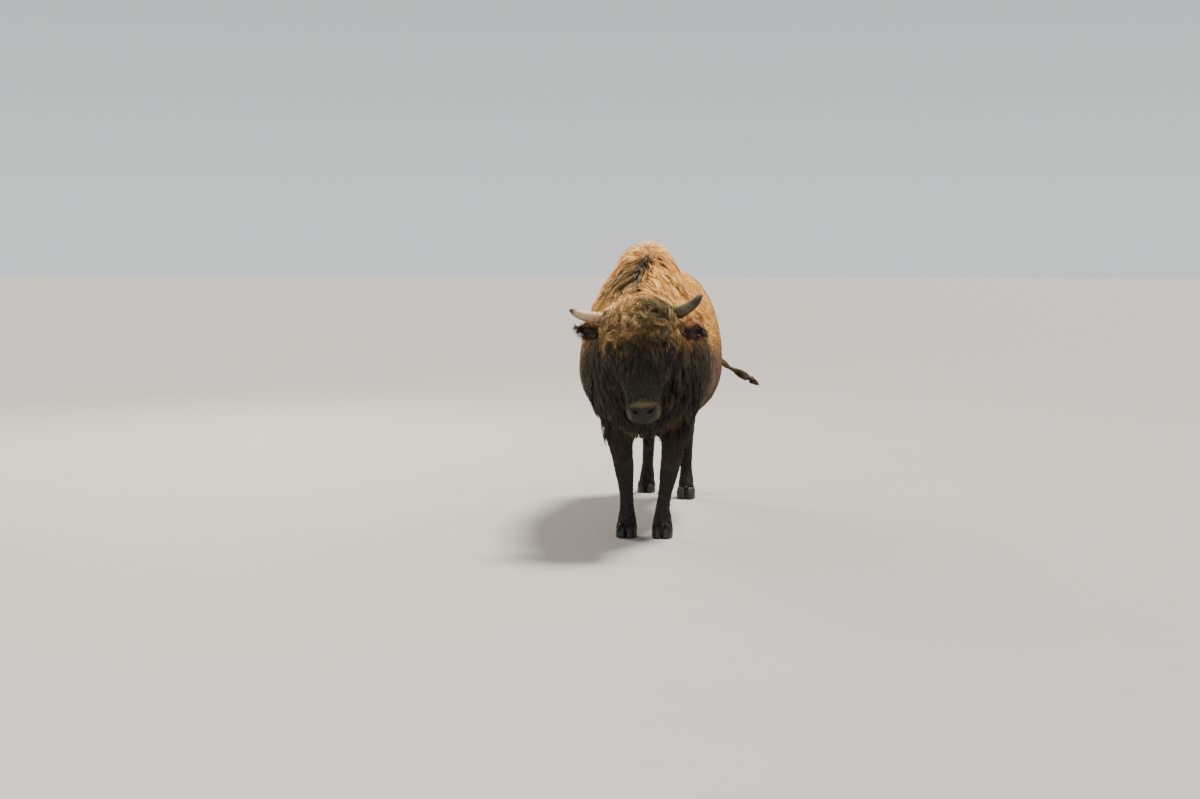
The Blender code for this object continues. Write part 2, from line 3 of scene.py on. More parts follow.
import logging
import math
from dataclasses import dataclass, field
from enum import Enum

import bmesh
import bpy
import numpy as np
from mathutils import Matrix, Vector
from mathutils.bvhtree import BVHTree
from mathutils.kdtree import KDTree


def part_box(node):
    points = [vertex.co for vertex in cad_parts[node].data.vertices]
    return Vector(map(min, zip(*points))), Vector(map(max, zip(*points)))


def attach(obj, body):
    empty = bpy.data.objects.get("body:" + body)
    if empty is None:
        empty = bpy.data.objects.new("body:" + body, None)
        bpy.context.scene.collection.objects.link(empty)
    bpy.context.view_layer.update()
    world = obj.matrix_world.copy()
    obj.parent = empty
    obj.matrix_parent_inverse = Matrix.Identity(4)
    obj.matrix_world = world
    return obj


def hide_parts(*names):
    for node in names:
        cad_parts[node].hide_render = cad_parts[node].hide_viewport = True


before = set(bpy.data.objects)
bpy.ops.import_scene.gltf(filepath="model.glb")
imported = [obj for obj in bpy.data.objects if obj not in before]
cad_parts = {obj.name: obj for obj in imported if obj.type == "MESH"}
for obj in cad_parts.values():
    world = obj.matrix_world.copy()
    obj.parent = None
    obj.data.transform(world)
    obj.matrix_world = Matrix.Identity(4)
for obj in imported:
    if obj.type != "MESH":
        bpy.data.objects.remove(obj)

LOG = logging.getLogger("wisent")
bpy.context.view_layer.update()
BODY = "root"
COLOUR_LAYER = "coat_colour"
STRAND_LAYER = "strand"
BARE_LAYER = "bare"
UPRIGHT_LAYER = "upright"
BAKE_MAP = "OFBake"
SIDES = {"left": 1.0, "right": -1.0}
MOST_TRIANGLES = 196000
TINY = 1e-12
FAR = 9.0

Colour = tuple[float, float, float]
Way = tuple[float, float, float]
Span = tuple[float, float]
Array = np.ndarray
Four = tuple[float, float, float, float]
Rgba = Four
Roots = dict[str, Array]
Random = np.random.Generator
Mesh = bpy.types.Mesh
Material = bpy.types.Material
Socket = bpy.types.NodeSocket

WANDER_WIDE: Span = (0.045, 9.0)
WANDER_FINE: Span = (0.025, 21.0)
EAR_MIDDLE, EAR_SKEW, EAR_EDGE = 0.148, 0.012, 0.03
PARTING = 0.07
NOISE_SPAN: Span = (0.3, 0.7)
STAIN_AND_LIGHT_EDGE: Span = (1.05, 0.35)
GAZE: Way = (0.88, -0.02, 0.47)
SLIT_WAY: Way = (-0.18, 1.0, 0.05)
CLAWS = tuple(name for name in sorted(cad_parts) if name.startswith(("hoof_", "dewclaw_")))


class Flesh(Enum):
    """Groups of flesh nodes that wear one kind of coat each."""

    HEAD = ("head",)
    NECK = ("neck",)
    TRUNK = ("trunk",)
    FORELEG = ("leg_front_left", "leg_front_right")
    HINDLEG = ("leg_hind_left", "leg_hind_right")
    EAR = ("ear_left", "ear_right")
    TAIL = ("tail",)
    TUFT = ("tail_tuft",)
    BEARD = ("beard",)


def unit(rows: Array) -> Array:
    """Scale vectors to length one.

    Args:
        rows: One vector or an array of them.

    Returns:
        The same vectors with length one.
    """
    return rows / np.maximum(np.linalg.norm(rows, axis=-1, keepdims=True), TINY)


def ramp(values: Array, start: float, end: float) -> Array:
    """Ease from 0 at start to 1 at end, whichever of the two is larger.

    Args:
        values: Numbers to judge.
        start: Where the ramp leaves 0.
        end: Where it reaches 1.

    Returns:
        Eased shares between 0 and 1.
    """
    share = np.clip((values - start) / (end - start), 0.0, 1.0)
    return share * share * (3.0 - 2.0 * share)


def wander(points: Array, scale: float) -> Array:
    """A soft, aimless number between -1 and 1 that changes slowly from place to place.

    Args:
        points: Places to judge.
        scale: How quickly it changes.

    Returns:
        One number for every place.
    """
    x, y, z = (points * scale).T
    first = np.sin(x + 1.7 * np.sin(0.8 * y + 0.3)) * np.cos(z + 1.3 * np.sin(1.1 * x))
    return 0.5 * first + 0.5 * np.sin(1.3 * y + 1.1 * z + 1.9 * np.sin(0.7 * z - x))


def bell(values: Array, middle: float, width: float) -> Array:
    """Swell to 1 at a middle and fade out on both sides of it."""
    return np.exp(-(((values - middle) / width) ** 2))


def node_middle(name: str) -> Array:
    """Middle of a frame node's box."""
    low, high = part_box(name)
    return (np.array(low) + np.array(high)) / 2.0


@dataclass(frozen=True)
class HeadAxes:
    """Axes of the head: to its left side, down the face and out of the face, from the poll."""

    origin: Array
    rows: Array

    @classmethod
    def from_eyes(cls, tilt: float = math.radians(18.0), eye_down: float = 0.313, eye_out: float = 0.053) -> "HeadAxes":
        """Set the axes from the two eyes.

        Args:
            tilt: How far the face leans from upright.
            eye_down: Distance of the eyes down the face.
            eye_out: Distance of the eyes out of the face.

        Returns:
            The head's axes.
        """
        left, right = node_middle("eye_left"), node_middle("eye_right")
        across = unit(left - right)
        down = np.array((0.0, -math.sin(tilt), -math.cos(tilt)))
        down = unit(down - across * float(down @ across))
        out = np.cross(down, across)
        origin = (left + right) / 2.0 - eye_down * down - eye_out * out
        return cls(origin, np.stack((across, down, out)))

    def local(self, points: Array) -> Array:
        """Head places (left, down, out) of world points."""
        return (points - self.origin) @ self.rows.T

    def world(self, places: Array) -> Array:
        """World points of head places."""
        return np.asarray(places) @ self.rows + self.origin

    def turn(self, vectors: Array) -> Array:
        """World directions of head directions."""
        return np.asarray(vectors) @ self.rows


HEAD = HeadAxes.from_eyes()
EYES = {side: node_middle(f"eye_{side}") for side in SIDES}
MIDDLE_X = float(node_middle("head")[0])


def eye_distance(points: Array) -> Array:
    """Distance of points from the nearer eye's middle."""
    return np.min([np.linalg.norm(points - eye, axis=1) for eye in EYES.values()], axis=0)


def eye_axes(side: str) -> tuple[Array, Array, Array]:
    """Gaze of an eye, the long way of its slit and the short way."""
    sign = SIDES[side]
    gaze = unit(HEAD.turn((sign * GAZE[0], GAZE[1], GAZE[2])))
    along = HEAD.turn((sign * SLIT_WAY[0], SLIT_WAY[1], SLIT_WAY[2]))
    along = unit(along - gaze * float(along @ gaze))
    return gaze, along, np.cross(gaze, along)


@dataclass
class Places:
    """Points of the body with all that the coat's map asks about them."""

    points: Array
    normals: Array
    flesh: Array
    _measures: dict[str, Array] = field(default_factory=dict)

    def measure(self, name: str) -> Array:
        """One named measure of every point.

        Args:
            name: x, y or z in the frame; l, s or o to the left, down or out of the head; e from the nearer eye.

        Returns:
            The measure of every point.
        """
        if not self._measures:
            head = HEAD.local(self.points)
            (wide, wide_scale), (fine, fine_scale) = WANDER_WIDE, WANDER_FINE
            drift = wide * wander(self.points, wide_scale) + fine * wander(self.points[:, ::-1] + 0.7, fine_scale)
            self._measures = {
                "x": self.points[:, 0], "y": self.points[:, 1] + drift,
                "z": self.points[:, 2] + drift * ramp(self.points[:, 2], 0.4, 1.0),
                "l": head[:, 0], "s": head[:, 1], "o": head[:, 2], "e": eye_distance(self.points),
            }
        return self._measures[name]


@dataclass(frozen=True)
class Coat:
    """One kind of coat: where it grows, how it lies and its colours.

    Ramps are (measure, start, end) and their shares multiply. A base coat fills its flesh, and every later coat lies
    over the ones before it.

    Attributes:
        depth: How far the skin lies inside the solids there.
        flow: Lie of the hair, in the frame or, with on_head, in the head's axes.
        spread: How far the lie turns outward on either side of the middle.
        wave, turns: Size and number of the curls of a lock.
        free: Share of a lock that hangs free of the skin, and fall the way it hangs.
        clump, wisp, stray: How closely locks gather, the share of them that lead, and how far they stray.
        rise, lift: How high the locks stand over the skin, and how far their tips lift off.
        fan: How far the hair turns away from the ear's middle.
        patchy, mottle: Unevenness of tone from wisp to wisp and from place to place.
    """

    name: str
    flesh: tuple[Flesh, ...]
    depth: float
    length: float
    width: float
    spacing: float
    flow: Way
    root: Colour
    tip: Colour
    ramps: tuple[tuple[str, float, float], ...] = ()
    spread: float = 0.0
    on_head: bool = False
    wave: float = 0.0
    turns: float = 1.0
    free: float = 0.0
    clump: float = 0.35
    stray: float = 0.22
    wisp: float = 0.11
    rise: float = 1.0
    fan: float = 0.0
    patchy: float = 0.26
    lift: float = 0.0
    fall: Way = (0.0, 0.0, -1.0)
    mottle: float = 0.0


TRAITS = ("depth", "length", "width", "wave", "turns", "free", "clump", "stray", "wisp", "rise", "patchy", "lift",
          "fall", "mottle")
F = Flesh
SOOT: Colour = (0.009, 0.0075, 0.006)
SOOT_TIP: Colour = (0.026, 0.02, 0.015)
GOLD: Colour = (0.94, 0.465, 0.096)
# Pale straw of the crest's tips, lightened as painted sunlight on top of the hump.
SUNLIT_STRAW: Colour = (0.93, 0.54, 0.19)
COATS: tuple[Coat, ...] = (
    Coat("flank", (F.TRUNK, F.HINDLEG), 0.007, 0.048, 0.0048, 0.0117, (0.0, 1.0, -0.55), (0.09, 0.048, 0.023),
         (0.165, 0.088, 0.04), clump=0.25, stray=0.12, rise=0.75, patchy=0.18),
    Coat("neck", (F.NECK,), 0.028, 0.1, 0.0058, 0.0092, (0.0, 0.4, -1.0), SOOT, (0.025, 0.02, 0.015), wave=0.008,
         turns=0.7, clump=0.6, wisp=0.07),
    Coat("cheek", (F.HEAD,), 0.014, 0.06, 0.0046, 0.0083, (0.0, 1.0, -0.7), SOOT, (0.024, 0.019, 0.014),
         on_head=True, wave=0.004, turns=0.6, clump=0.55),
    Coat("foreleg", (F.FORELEG,), 0.008, 0.036, 0.0044, 0.0095, (0.0, 0.12, -1.0), (0.014, 0.01, 0.008),
         (0.038, 0.028, 0.019), rise=0.7),
    Coat("ear", (F.EAR,), 0.004, 0.066, 0.0036, 0.0046, (0.0, 0.22, 0.0), (0.016, 0.01, 0.007),
         (0.052, 0.032, 0.02), spread=1.0, on_head=True, clump=0.35, stray=0.25, fan=2.2, free=0.85,
         fall=(0.0, 0.0, -0.12)),
    Coat("tail", (F.TAIL,), 0.006, 0.04, 0.0044, 0.008, (0.66, 0.22, -0.71), (0.08, 0.05, 0.025),
         (0.21, 0.135, 0.065), rise=1.2),
    Coat("tuft", (F.TUFT,), 0.02, 0.048, 0.0046, 0.0052, (0.86, -0.15, -0.49), (0.03, 0.02, 0.011),
         (0.11, 0.076, 0.04), wave=0.005, turns=0.6, free=0.95, clump=0.5, stray=0.16, wisp=0.06,
         fall=(0.86, -0.15, -0.49)),
    Coat("beard", (F.BEARD,), 0.026, 0.135, 0.0054, 0.0048, (0.0, 0.05, -1.0), SOOT, (0.028, 0.022, 0.016),
         wave=0.01, turns=0.8, free=0.7, clump=0.6, stray=0.3, wisp=0.05),
    Coat("shoulder", (F.TRUNK,), 0.018, 0.07, 0.0056, 0.011, (0.0, 0.6, -1.0), (0.03, 0.021, 0.013),
         (0.062, 0.042, 0.025), (("y", -0.18, -0.52), ("z", 1.42, 1.18)), wave=0.005, turns=0.7, clump=0.45),
    # The back's lighter colour is partly painted light: a lighter top of the back stands in for the sun's sheen on it.
    Coat("back", (F.TRUNK, F.HINDLEG), 0.011, 0.056, 0.0052, 0.0102, (0.0, 1.0, -0.45), (0.215, 0.115, 0.05),
         (0.46, 0.262, 0.112), (("z", 1.08, 1.5),), clump=0.25, stray=0.12, rise=0.8, patchy=0.18),
    Coat("withers", (F.TRUNK,), 0.02, 0.075, 0.0054, 0.0108, (0.0, 0.75, -1.0), (0.42, 0.215, 0.062),
         (0.9, 0.48, 0.13), (("z", 1.02, 1.28), ("y", 0.55, 0.05), ("y", -0.48, -0.28)), wave=0.005, turns=0.7,
         clump=0.35, stray=0.13, wisp=0.07, patchy=0.16),
    Coat("hump", (F.TRUNK, F.NECK), 0.026, 0.09, 0.0054, 0.0104, (0.0, 0.55, -1.0), (0.48, 0.232, 0.056), GOLD,
         (("z", 1.18, 1.46), ("y", 0.55, -0.15)), spread=0.4, wave=0.006, turns=0.7, clump=0.35, stray=0.13,
         wisp=0.07, rise=1.15, patchy=0.16),
    Coat("mane", (F.TRUNK, F.NECK), 0.034, 0.13, 0.0054, 0.0088, (0.0, -0.5, -1.0), (0.44, 0.212, 0.052), GOLD,
         (("y", -0.3, -0.62), ("z", 1.3, 1.45)), spread=0.75, wave=0.011, turns=0.75, clump=0.5, stray=0.18,
         wisp=0.06, rise=1.2, patchy=0.34, lift=0.004, mottle=0.3),
    # The crest's pale colour on top of the hump is partly its own paler tips and partly painted sunlight.
    Coat("crest", (F.TRUNK, F.NECK), 0.026, 0.095, 0.0052, 0.01, (0.0, 0.45, -1.0), (0.5, 0.27, 0.09), SUNLIT_STRAW,
         (("z", 1.64, 1.72), ("x", -0.19, -0.11), ("x", 0.03, -0.05)), spread=0.12, wave=0.006, turns=0.7, clump=0.35,
         stray=0.2, wisp=0.06, rise=2.7, lift=0.024, patchy=0.16),
    Coat("chest", (F.TRUNK, F.NECK, F.FORELEG), 0.04, 0.14, 0.0064, 0.0146, (0.0, 0.05, -1.0),
         (0.01, 0.008, 0.006), (0.032, 0.024, 0.016), (("z", 1.22, 0.92), ("y", -0.42, -0.64), ("z", 0.6, 0.68)),
         wave=0.01, turns=0.75, free=0.3, clump=0.7, wisp=0.06),
    Coat("belly", (F.TRUNK,), 0.018, 0.085, 0.0056, 0.012, (0.0, 0.5, -1.0), (0.03, 0.021, 0.013),
         (0.078, 0.05, 0.029), (("z", 0.9, 0.7),), wave=0.006, turns=0.7, free=0.3, clump=0.55),
    Coat("hindleg", (F.HINDLEG,), 0.008, 0.038, 0.0046, 0.0114, (0.0, 0.35, -1.0), (0.036, 0.024, 0.015),
         (0.08, 0.052, 0.032), (("z", 1.05, 0.62),), clump=0.25, stray=0.12, rise=0.75),
    Coat("breeches", (F.FORELEG,), 0.018, 0.095, 0.0056, 0.0095, (0.0, 0.1, -1.0), (0.01, 0.008, 0.007),
         (0.03, 0.023, 0.017), (("z", 0.42, 0.56), ("y", -0.64, -0.56)), wave=0.008, turns=0.7, free=0.35,
         clump=0.6),
    Coat("throat", (F.HEAD,), 0.026, 0.105, 0.0056, 0.0098, (0.0, 0.25, -1.0), SOOT, SOOT_TIP, (("o", -0.03, -0.13),),
         wave=0.008, turns=0.7, free=0.3, clump=0.65, wisp=0.07),
    Coat("nape", (F.HEAD, F.NECK), 0.042, 0.105, 0.0044, 0.0064, (0.0, 1.0, 0.45), (0.28, 0.145, 0.042),
         (0.84, 0.44, 0.115), (("s", 0.085, 0.0), ("o", -0.26, -0.12), ("s", -0.18, -0.1)), spread=0.65,
         on_head=True, wave=0.015, turns=0.8, clump=0.8, stray=0.32, wisp=0.045, patchy=0.35, lift=0.01,
         mottle=0.45),
    Coat("mop", (F.HEAD, F.NECK), 0.046, 0.09, 0.0038, 0.0046, (0.0, 1.0, 0.25), (0.018, 0.012, 0.006),
         (0.54, 0.34, 0.128), (("s", 0.31, 0.15), ("s", -0.01, 0.06), ("o", -0.14, -0.03)), spread=0.7,
         on_head=True, wave=0.018, turns=0.85, clump=0.92, stray=0.7, wisp=0.075, patchy=0.55, lift=0.02,
         mottle=1.25),
    Coat("brow", (F.HEAD,), 0.018, 0.09, 0.0046, 0.0076, (0.0, 1.0, 0.0), (0.013, 0.01, 0.007),
         (0.048, 0.036, 0.023), (("s", 0.19, 0.3), ("s", 0.5, 0.34), ("o", -0.03, 0.03)), spread=0.25, on_head=True,
         wave=0.006, turns=0.6, clump=0.65, wisp=0.06, patchy=0.42, mottle=0.5),
    Coat("face", (F.HEAD,), 0.006, 0.032, 0.0036, 0.0064, (0.0, 1.0, -0.15), (0.013, 0.011, 0.009),
         (0.037, 0.031, 0.024), (("s", 0.34, 0.5), ("o", -0.03, 0.02)), spread=0.35, on_head=True),
    Coat("muzzle", (F.HEAD,), 0.003, 0.012, 0.0026, 0.0042, (0.0, 0.9, -0.3), (0.012, 0.01, 0.008),
         (0.034, 0.028, 0.02), (("s", 0.555, 0.6), ("o", -0.06, -0.03)), spread=0.3, on_head=True, clump=0.1),
    Coat("chin", (F.HEAD,), 0.012, 0.085, 0.0048, 0.0062, (0.0, 0.7, -0.8), SOOT, SOOT_TIP,
         (("s", 0.5, 0.56), ("o", -0.05, -0.08)), on_head=True, free=0.6, clump=0.5),
    Coat("lid", (F.HEAD,), 0.003, 0.009, 0.0022, 0.0034, (0.0, 1.0, -0.2), (0.01, 0.008, 0.007),
         (0.022, 0.018, 0.014), (("e", 0.062, 0.044),), on_head=True, clump=0.1),
    Coat("shin", (F.FORELEG, F.HINDLEG), 0.005, 0.022, 0.0038, 0.0072, (0.0, 0.08, -1.0), (0.011, 0.009, 0.008),
         (0.027, 0.022, 0.018), (("z", 0.56, 0.34),), rise=0.8),
    Coat("coronet", (F.FORELEG, F.HINDLEG), 0.005, 0.06, 0.005, 0.0062, (0.0, -0.1, -1.0), (0.01, 0.008, 0.007),
         (0.026, 0.021, 0.017), (("z", 0.165, 0.125),), free=0.95, clump=0.4, rise=2.0),
)


@dataclass(frozen=True)
class StainAndLightPatch:
    """A soft ellipsoid in which the coat takes another colour; some are markings of the coat, and some are painted
    light and painted shade.
    """

    middle: Way
    radii: Way
    colour: Colour
    strength: float
    on_head: bool = False
    mirrored: bool = False
    root: float = 0.4

    def share(self, points: Array) -> Array:
        """How far each place takes this colour."""
        points = HEAD.local(points) if self.on_head else points
        if self.mirrored:
            points = np.column_stack((np.abs(points[:, 0]), points[:, 1:]))
        reach = np.linalg.norm((points - np.array(self.middle)) / np.array(self.radii), axis=1)
        return self.strength * ramp(reach, *STAIN_AND_LIGHT_EDGE)


# Markings of the coat, together with patches of painted light and painted shade, each noted below.
STAINS_AND_LIGHT: tuple[StainAndLightPatch, ...] = (
    # Pale top of the hump: partly paler tips, partly painted sunlight.
    StainAndLightPatch((-0.06, -0.36, 1.74), (0.24, 0.4, 0.1), SUNLIT_STRAW, 0.85, root=0.6),
    StainAndLightPatch((-0.185, -0.84, 1.53), (0.175, 0.3, 0.165), (0.165, 0.104, 0.031), 0.92),
    StainAndLightPatch((-0.315, -0.72, 1.47), (0.075, 0.28, 0.17), (0.26, 0.135, 0.036), 0.75),
    # A near-black spot and a dark streak below it at the front of the hump: partly darker hair, partly painted shade in
    # the hollow where the hair parts.
    StainAndLightPatch((-0.078, -0.76, 1.635), (0.074, 0.17, 0.09), (0.02, 0.012, 0.005), 0.97),
    StainAndLightPatch((-0.108, -0.86, 1.56), (0.046, 0.15, 0.12), (0.056, 0.033, 0.012), 0.78),
    StainAndLightPatch((-0.27, -0.93, 1.44), (0.05, 0.14, 0.042), (0.045, 0.029, 0.014), 0.75),
    StainAndLightPatch((0.11, 0.08, 0.14), (0.15, 0.12, 0.16), (0.09, 0.064, 0.023), 0.92, True),
    StainAndLightPatch((0.07, 0.21, 0.14), (0.14, 0.08, 0.14), (0.13, 0.088, 0.034), 0.75, True),
    # Two golden patches on the mop's right side are painted light: patches of sunlight on the locks.
    StainAndLightPatch((-0.085, 0.185, 0.15), (0.09, 0.08, 0.14), (0.76, 0.42, 0.19), 0.8, True, root=0.12),
    StainAndLightPatch((-0.1, 0.05, 0.15), (0.12, 0.06, 0.14), (0.8, 0.44, 0.15), 0.8, True, root=0.15),
    StainAndLightPatch((0.0, 0.29, 0.14), (0.24, 0.065, 0.14), (0.045, 0.032, 0.016), 0.8, True),
    StainAndLightPatch((0.0, 0.6125, 0.075), (0.105, 0.024, 0.06), (0.165, 0.134, 0.062), 0.92, True, False, 0.75),
    StainAndLightPatch((0.083, 0.67, 0.03), (0.024, 0.06, 0.06), (0.165, 0.134, 0.08), 0.9, True, True, 0.75),
    # A light streak down the left cheek is painted light: the lit edge of the cheek.
    StainAndLightPatch((0.14, 0.41, -0.02), (0.03, 0.14, 0.06), (0.13, 0.095, 0.045), 0.55, True),
    StainAndLightPatch((0.19, -0.94, 1.09), (0.04, 0.1, 0.11), (0.15, 0.105, 0.055), 0.75),
    StainAndLightPatch((0.15, -0.97, 0.95), (0.036, 0.09, 0.1), (0.13, 0.09, 0.048), 0.7),
    StainAndLightPatch((0.105, -0.95, 0.82), (0.036, 0.09, 0.09), (0.12, 0.082, 0.044), 0.65),
    # Orange upper fringes of both ears, stronger on the right ear, are painted light: light shining through the fringe
    # hair.
    StainAndLightPatch((0.27, 0.112, -0.05), (0.15, 0.058, 0.1), (0.66, 0.33, 0.15), 0.95, True, root=0.7),
    StainAndLightPatch((-0.27, 0.08, -0.05), (0.12, 0.04, 0.1), (0.52, 0.27, 0.1), 0.9, True, root=0.7),
    StainAndLightPatch((0.0, 0.45, 0.7), (0.75, 0.8, 0.36), (0.06, 0.037, 0.02), 0.8),
    StainAndLightPatch((0.0, -0.62, 0.44), (0.4, 0.1, 0.05), (0.1, 0.068, 0.036), 0.6),
)


class CoatMap:
    """Blends the coats over the body: shares, sizes, flow, markings and patches of painted light and shade."""

    def __init__(self, coats: tuple[Coat, ...] = COATS, stains_and_light: tuple[StainAndLightPatch, ...] = STAINS_AND_LIGHT) -> None:
        """Keep the coats, the markings and the patches of painted light and shade."""
        self.coats = coats
        self.stains_and_light = stains_and_light

    def shares(self, places: Places) -> Array:
        """Share of every coat at every place.

        Args:
            places: Points of the body.

        Returns:
            An array of points by coats whose rows sum to 1.
        """
        kinds = list(Flesh)
        found = np.zeros((len(places.points), len(self.coats)))
        for index, coat in enumerate(self.coats):
            share = sum(places.flesh[:, kinds.index(kind)] for kind in coat.flesh)
            if coat.ramps:
                for name, start, end in coat.ramps:
                    share = share * ramp(places.measure(name), start, end)
                found *= 1.0 - share[:, None]
            found[:, index] = share
        return found / np.maximum(found.sum(axis=1, keepdims=True), 1e-9)

    def blend(self, shares: Array, name: str) -> Array:
        """Blend one number or colour of the coats by their shares."""
        values = np.array([getattr(coat, name) for coat in self.coats], dtype=float)
        return shares @ values

    def flow(self, places: Places, shares: Array) -> Array:
        """Lie of the coat as unit vectors along the surface.

        Args:
            places: Points of the body.
            shares: Share of every coat there.

        Returns:
            One direction for every place.
        """
        total = np.zeros_like(places.points)
        for index, coat in enumerate(self.coats):
            side = places.measure("l") if coat.on_head else places.points[:, 0] - MIDDLE_X
            lie = np.tile(np.array(coat.flow), (len(side), 1))
            lie[:, 0] += coat.spread * np.tanh(side / PARTING)
            if coat.fan:
                middle = EAR_MIDDLE + EAR_SKEW * np.sign(side)
                lie[:, 1] += coat.fan * np.tanh((places.measure("s") - middle) / EAR_EDGE)
            total += unit(HEAD.turn(lie) if coat.on_head else lie) * shares[:, index:index + 1]
        total -= places.normals * np.sum(total * places.normals, axis=1, keepdims=True)
        return unit(total)

    def marked_and_lit(self, root: Array, tip: Array, points: Array) -> tuple[Array, Array]:
        """Root and tip colours with the markings and the painted light and shade of their places."""
        for stain_and_light in self.stains_and_light:
            share, colour = stain_and_light.share(points)[:, None], np.array(stain_and_light.colour)
            tip = tip * (1.0 - share) + colour * share
            root = root * (1.0 - share) + colour * stain_and_light.root * share
        return root, tip


def spread_over(edges: Array, values: Array, rounds: int, strength: float) -> Array:
    """Even out values over a mesh by moving each towards the mean of its neighbours.

    Args:
        edges: Pairs of vertices.
        values: One row for every vertex.
        rounds: How often to repeat it.
        strength: Share of the way to the mean.

    Returns:
        The evened rows.
    """
    count = len(values)
    degree = np.maximum(np.bincount(edges.ravel(), minlength=count), 1)[:, None]
    for _ in range(rounds):
        total = np.empty_like(values)
        for column in range(values.shape[1]):
            one = np.bincount(edges[:, 0], values[edges[:, 1], column], count)
            total[:, column] = one + np.bincount(edges[:, 1], values[edges[:, 0], column], count)
        values = values + (total / degree - values) * strength
    return values


def vertex_normals(points: Array, faces: Array) -> Array:
    """Smooth normals of a triangle mesh.

    Args:
        points: Vertices.
        faces: Triangles.

    Returns:
        One unit normal for every vertex.
    """
    corner = points[faces]
    across = np.cross(corner[:, 1] - corner[:, 0], corner[:, 2] - corner[:, 0])
    total = np.zeros_like(points)
    for index in range(3):
        for axis in range(3):
            total[:, axis] += np.bincount(faces[:, index], across[:, axis], len(points))
    return unit(total)


def read_mesh(mesh: Mesh) -> tuple[Array, Array, Array]:
    """Points, edges and triangles of a mesh.

    Args:
        mesh: Mesh of triangles.

    Returns:
        Points, pairs of vertices and triangles.
    """
    points = np.empty(len(mesh.vertices) * 3)
    mesh.vertices.foreach_get("co", points)
    edges = np.empty(len(mesh.edges) * 2, dtype=np.int64)
    mesh.edges.foreach_get("vertices", edges)
    mesh.calc_loop_triangles()
    faces = np.empty(len(mesh.loop_triangles) * 3, dtype=np.int64)
    mesh.loop_triangles.foreach_get("vertices", faces)
    return points.reshape(-1, 3), edges.reshape(-1, 2), faces.reshape(-1, 3)


def write_points(mesh: Mesh, points: Array) -> None:
    """Set a mesh's vertices."""
    mesh.vertices.foreach_set("co", points.astype(np.float32).ravel())
    mesh.update()


def smooth(mesh: Mesh) -> None:
    """Shade a mesh smoothly."""
    mesh.polygons.foreach_set("use_smooth", np.ones(len(mesh.polygons), dtype=bool))


def new_mesh(name: str, points: Array, faces: list[Array]) -> Mesh:
    """Make a smooth-shaded mesh.

    Args:
        name: Name of the mesh.
        points: Vertices.
        faces: Arrays of faces, each with its own number of corners.

    Returns:
        The mesh.
    """
    mesh = bpy.data.meshes.new(name)
    corners = np.concatenate([block.ravel() for block in faces]).astype(np.int32)
    counts = np.concatenate([np.full(len(block), block.shape[1]) for block in faces]).astype(np.int32)
    mesh.vertices.add(len(points))
    mesh.vertices.foreach_set("co", points.astype(np.float32).ravel())
    mesh.loops.add(len(corners))
    mesh.loops.foreach_set("vertex_index", corners)
    mesh.polygons.add(len(counts))
    starts = np.concatenate(([0], np.cumsum(counts)[:-1])).astype(np.int32)
    mesh.polygons.foreach_set("loop_start", starts)
    mesh.polygons.foreach_set("loop_total", counts)
    smooth(mesh)
    mesh.update(calc_edges=True)
    return mesh


def tube_faces(rows: int, ring: int) -> list[Array]:
    """Faces of a tube that is closed at both ends.

    Args:
        rows: Number of rings.
        ring: Vertices of each ring. After the rings come the pole of the first one and the pole of the last.

    Returns:
        The quads and the triangles.
    """
    around = np.arange(ring)
    after = (around + 1) % ring
    start = np.arange(rows - 1)[:, None] * ring
    quads = np.stack((start + around, start + ring + around, start + ring + after, start + after), axis=-1)
    last, pole = (rows - 1) * ring, np.full(ring, rows * ring)
    caps = (np.stack((pole, around, after), axis=-1), np.stack((pole + 1, last + after, last + around), axis=-1))
    return [quads.reshape(-1, 4), np.concatenate(caps)]


def search_tree(names: tuple[str, ...]) -> tuple[BVHTree, Array]:
    """Make a search tree over frame nodes.

    Args:
        names: The nodes.

    Returns:
        The tree, and for each of its faces the number of its node among the names.
    """
    points, faces, owners, start = [], [], [], 0
    for index, name in enumerate(names):
        at, _, triangles = read_mesh(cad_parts[name].data)
        points.append(at)
        faces.append(triangles + start)
        owners.append(np.full(len(triangles), index))
        start += len(at)
    tree = BVHTree.FromPolygons(np.concatenate(points).tolist(), np.concatenate(faces).tolist())
    return tree, np.concatenate(owners)


def link(name: str, data: bpy.types.ID) -> bpy.types.Object:
    """Put a new object into the scene."""
    made = bpy.data.objects.new(name, data)
    bpy.context.collection.objects.link(made)
    return made


def wrapped(mesh: Mesh, size: float) -> Mesh:
    """Wrap a mesh in one even mesh with cells of the given size.

    Args:
        mesh: Mesh to wrap.
        size: Width of a cell.

    Returns:
        The new mesh.
    """
    holder = link("wrap", mesh)
    wrap = holder.modifiers.new("wrap", "REMESH")
    wrap.mode = "VOXEL"
    wrap.voxel_size = size
    depsgraph = bpy.context.evaluated_depsgraph_get()
    even = bpy.data.meshes.new_from_object(holder.evaluated_get(depsgraph))
    bpy.data.objects.remove(holder)
    return even


def add_colour(mesh: Mesh, colours: Array) -> None:
    """Store the coat's colour on the vertices."""
    layer = mesh.color_attributes.new(COLOUR_LAYER, "FLOAT_COLOR", "POINT")
    rows = np.column_stack((colours, np.ones(len(colours))))
    layer.data.foreach_set("color", rows.astype(np.float32).ravel())


def add_values(mesh: Mesh, name: str, values: Array) -> None:
    """Store one number or one vector for every vertex."""
    kind, key = ("FLOAT", "value") if values.ndim == 1 else ("FLOAT_VECTOR", "vector")
    layer = mesh.attributes.new(name, kind, "POINT")
    layer.data.foreach_set(key, values.astype(np.float32).ravel())


